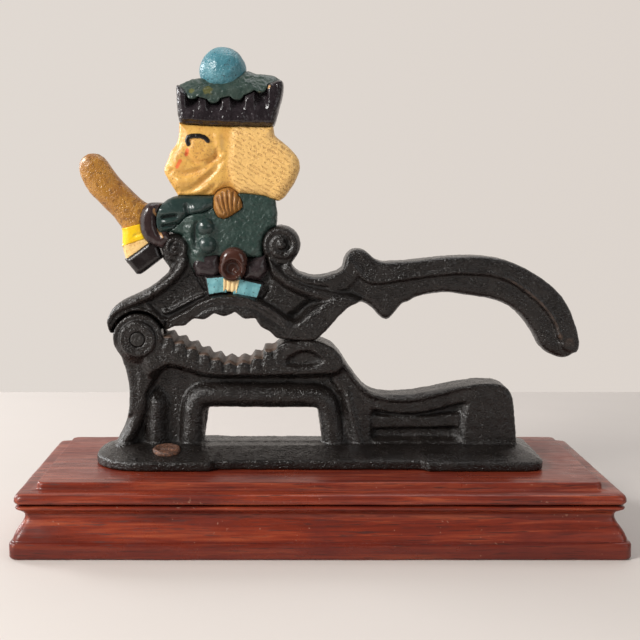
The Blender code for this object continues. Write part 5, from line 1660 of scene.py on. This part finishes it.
def build_figure():
    figure_piece("head", "head", head_relief, FACE_OCHRE, "ochre_paint", cell=0.4, marks=head_marks)
    figure_piece(
        "cap_band", "cap_band", cap_relief, CAP_BLACK, "black_paint", cell=0.42, rounds=1,
        lumps=((3.5, 0.25), (1.4, 0.10)),
    )
    build_crown()
    figure_piece(
        "coat", "coat", domed(6.2, 8.6, 3.4, swells=COAT_RISES, grooves=(COAT_FOLD,)), COAT_GREEN,
        "green_paint", cell=0.45, rounds=1,
        lumps=((3.0, 0.25), (1.2, 0.22)), joins=("sleeve", "cuff", "fist", "head"), patches=COAT_PATCHES,
    )
    sleeve = domed(6.0, 10.0, 4.6, swells=SLEEVE_RISES, grooves=SLEEVE_FOLDS)
    figure_piece("sleeve", "sleeve", sleeve, SLEEVE_GREEN, "green_paint", joins=("fist", "cuff"))
    figure_piece(
        "cuff", "cuff", domed(7.4, 11.6, 3.6, grooves=(CUFF_SEAM,)), CUFF_BROWN,
        "brown_paint", marks=cuff_marks, patches=(np.array(CUFF_ROOM),),
    )
    fist = domed(6.4, 11.8, 4.6, grooves=tuple(finger_lines()))
    figure_piece("fist", "fist", fist, FIST_OCHRE, "ochre_brown_paint", cell=0.36, rounds=1)
    figure_piece(
        "baton", "baton", domed(1.8, 6.9, 6.4), BATON_GOLD, "gold_paint", cell=0.5, rounds=3,
        lumps=((6.0, 0.2), (1.5, 0.05)), joins=("cuff", "baton_yellow_band"),
    )
    figure_piece(
        "baton_yellow", "baton_yellow_band", domed(3.6, 7.4, 4.0, grooves=(BAND_FOLD,)), BAND_YELLOW,
        "yellow_paint", cell=0.42, joins=("baton", "baton_cream_band", "cuff"),
    )
    figure_piece(
        "baton_cream", "baton_cream_band", domed(3.6, 7.1, 4.0), BAND_CREAM,
        "cream_paint", cell=0.42, joins=("baton_yellow_band", "baton_ferrule", "cuff"),
    )
    figure_piece(
        "ferrule", "baton_ferrule", domed(5.0, 7.9, 3.0), FERRULE_BLACK, "black_paint", cell=0.45, rounds=1,
        lumps=((5.0, 0.1),), growth=0.6,
    )
    for side in ("upper", "lower"):
        figure_piece(
            f"{side}_button", f"button_{side}", domed(7.0, 12.3, 5.2), SLEEVE_GREEN, "green_paint",
            cell=0.4, rounds=6, growth=1.5,
        )
    for side in ("left", "right"):
        figure_piece(
            f"belt_{side}", f"belt_{side}_front", domed(5.6, 10.2, 5.0), BELT_PURPLE, "purple_paint",
            cell=0.42, rounds=4, seat=SEAT, growth=2.2,
        )
        figure_piece(
            f"ribbon_{side}", f"ribbon_{side}_front", domed(8.2, 9.5, 1.2, swells=RIBBON_RISES),
            RIBBON_BLUE, "blue_paint", cell=0.36, rounds=1, seat=SEAT, joins=("ribbon_clasp_front",),
            marks=ribbon_marks, growth=1.5,
        )
    figure_piece(
        "clasp", "ribbon_clasp_front", domed(8.4, 9.8, 1.2, grooves=CLASP_FOLDS), CLASP_CREAM,
        "cream_paint", cell=0.36, rounds=1, seat=SEAT, joins=("ribbon_left_front", "ribbon_right_front"),
    )
    build_cup()
    build_pompom()


# Foot screws

LEAN = 0.14
SCREW_SPREAD = 1.06  # of the head's width to its CAD solid's
SCREW_SINK = 0.0007
SLOT_HALVES = (0.0040, 0.0011)
SLOT_DEPTH = 0.0014
SLOT_TOP = -0.0001  # over the seat: what is lower isn't cut
SCREW_PROFILE = (
    (0.0042, -0.0044), (0.0003, -0.0008), (0, 0.0), (0.0, 0.0008), (0.0005, 0.0014), (0.0012, 0.0016),
    (0.0019, 0.0013), (0.0025, 0.0009), (0.0036, 0.0009), (0.0050, 0.0011), (0.0062, 0.0011),
)


def build_screws():
    """Slotted heads that lean a little, with a washer-like ring round the slot."""
    for side in ("front", "rear"):
        node = f"foot_screw_{side}"
        low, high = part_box(node)
        ring = circle((0, 0), SCREW_SPREAD * (high.x - low.x) / 2)
        screw = loft(f"screw_{side}", ring, SCREW_PROFILE)
        places = coordinates(screw)
        along, across = (np.abs(places[:, i]) / half for i, half in enumerate(SLOT_HALVES))
        slot = np.clip(1 - across ** 4, 0, 1) * np.clip(1 - along ** 6, 0, 1)
        places[:, 2] -= SLOT_DEPTH * slot * (places[:, 2] > SLOT_TOP)
        places[:, 2] += high.z - SCREW_SINK + LEAN * places[:, 1]
        places[:, :2] += (np.array(low) + np.array(high))[:2] / 2
        moved_to(screw, places)
        modified(screw, ("SUBSURF", {"levels": 2, "render_levels": 2}))
        roughened(screw, 1.4, 0.10, seed=80.0)
        edge_marks(screw)
        dressed(screw, RUST, "base", "rusty_screw", node)


build_plinth()
build_frame()
build_pin()
build_lever()
build_figure()
build_screws()


# Stage

TABLE = (0.60, 0.37)
FLOOR_TONE = (0.675, 0.62, 0.58)
FLOOR_CLOUDS = 0.97  # of the second tone to the first
LENS = 65
SENSOR = 36
LENS_SHIFT = 0.0625
CAMERA_PLACE = (-0.018, -0.562, 0.166)
CAMERA_TILT = -6.53
TARGET = (0.0, 0.0, 0.08)
COOL = (0.97, 0.98, 1.0)
LIGHTS = (  # place, size, power and colour
    ("rim", (-0.85, 0.45, 0.42), 0.4, 5.0, COOL),
    ("key", (-1.0, -0.75, 0.75), 0.55, 20.0, (1.0, 0.98, 0.95)),
    ("top", (0.2, 0.3, 1.2), 0.9, 4.0, COOL),
    ("fill", (0.9, -0.9, 0.5), 0.9, 3.0, (1, 1, 1)),
)
WALL_TONES = ((0.755, 0.70, 0.65, 1), (0.715, 0.655, 0.605, 1))
WINDOW_TONE = (2.00, 1.97, 1.92, 1)
ROOM_TONE = (0.040, 0.037, 0.035, 1)
ALL_ROUND = {"Color": (1.0, 0.98, 0.96, 1), "Strength": 0.30}
WALL_BLEND = (-0.5, 0.5)  # along X, of the direction in which a ray leaves
WINDOW_EDGE = (-0.88, -0.42)
WALL_START = (-0.1, 0.35)  # along Y


def build_stage():
    mesh = bpy.data.meshes.new("floor")
    x, y = TABLE
    mesh.from_pydata([(-x, -y, 0), (x, -y, 0), (x, y, 0), (-x, y, 0)], [], [(0, 1, 2, 3)])
    second = tuple(FLOOR_CLOUDS * part for part in FLOOR_TONE)
    pale = Finish("pale_floor", FLOOR_TONE, second, cloud_scale=3.0, share=0.5, roughness=0.6)
    mesh.materials.append(pale.done())
    shown("floor", mesh)


def build_lights():
    for name, place, size, watts, colour in LIGHTS:
        light = bpy.data.lights.new(name, "AREA")
        light.shape = "DISK"
        light.size = size
        light.energy = watts
        light.color = colour
        obj = shown(name, light)
        obj.location = place
        towards = Vector(TARGET) - Vector(place)
        obj.rotation_euler = towards.to_track_quat("-Z", "Y").to_euler()


def build_world():
    """The camera sees a pale wall all round; gloss sees it behind the object, and before it
    a dim room with a bright window on the left; all else gets a weak light from every side."""
    world = bpy.data.worlds.new("studio")
    world.use_nodes = True
    tree = world.node_tree
    seen = tree.nodes["Background"]
    direction = placed(tree, "ShaderNodeTexCoord").outputs["Generated"]
    aside = placed(tree, "ShaderNodeSeparateXYZ", {0: direction}).outputs
    wall = mixed(tree, ranged(tree, aside["X"], *WALL_BLEND), *WALL_TONES)
    room = mixed(tree, ranged(tree, aside["X"], *WINDOW_EDGE), WINDOW_TONE, ROOM_TONE)
    light = placed(tree, "ShaderNodeBackground", ALL_ROUND)
    rays = placed(tree, "ShaderNodeLightPath").outputs
    ahead = ranged(tree, aside["Y"], *WALL_START)
    ahead = counted(tree, "MAXIMUM", ahead, rays["Is Camera Ray"])
    tree.links.new(mixed(tree, ahead, room, wall), seen.inputs["Color"])
    direct = counted(tree, "MAXIMUM", rays["Is Camera Ray"], rays["Is Glossy Ray"])
    direct = counted(tree, "MAXIMUM", direct, rays["Is Transmission Ray"])
    mix = placed(tree, "ShaderNodeMixShader", {0: direct, 1: light.outputs[0], 2: seen.outputs[0]})
    tree.links.new(mix.outputs[0], tree.nodes["World Output"].inputs["Surface"])
    bpy.context.scene.world = world


def build_camera():
    camera = bpy.data.cameras.new("camera")
    camera.lens = LENS
    camera.sensor_width = SENSOR
    camera.shift_x = LENS_SHIFT
    obj = shown("camera", camera)
    obj.location = CAMERA_PLACE
    obj.rotation_euler = (math.radians(90 + CAMERA_TILT), 0, 0)
    bpy.context.scene.camera = obj


build_stage()
build_world()
build_camera()
build_lights()
bpy.context.scene.view_settings.view_transform = "Standard"
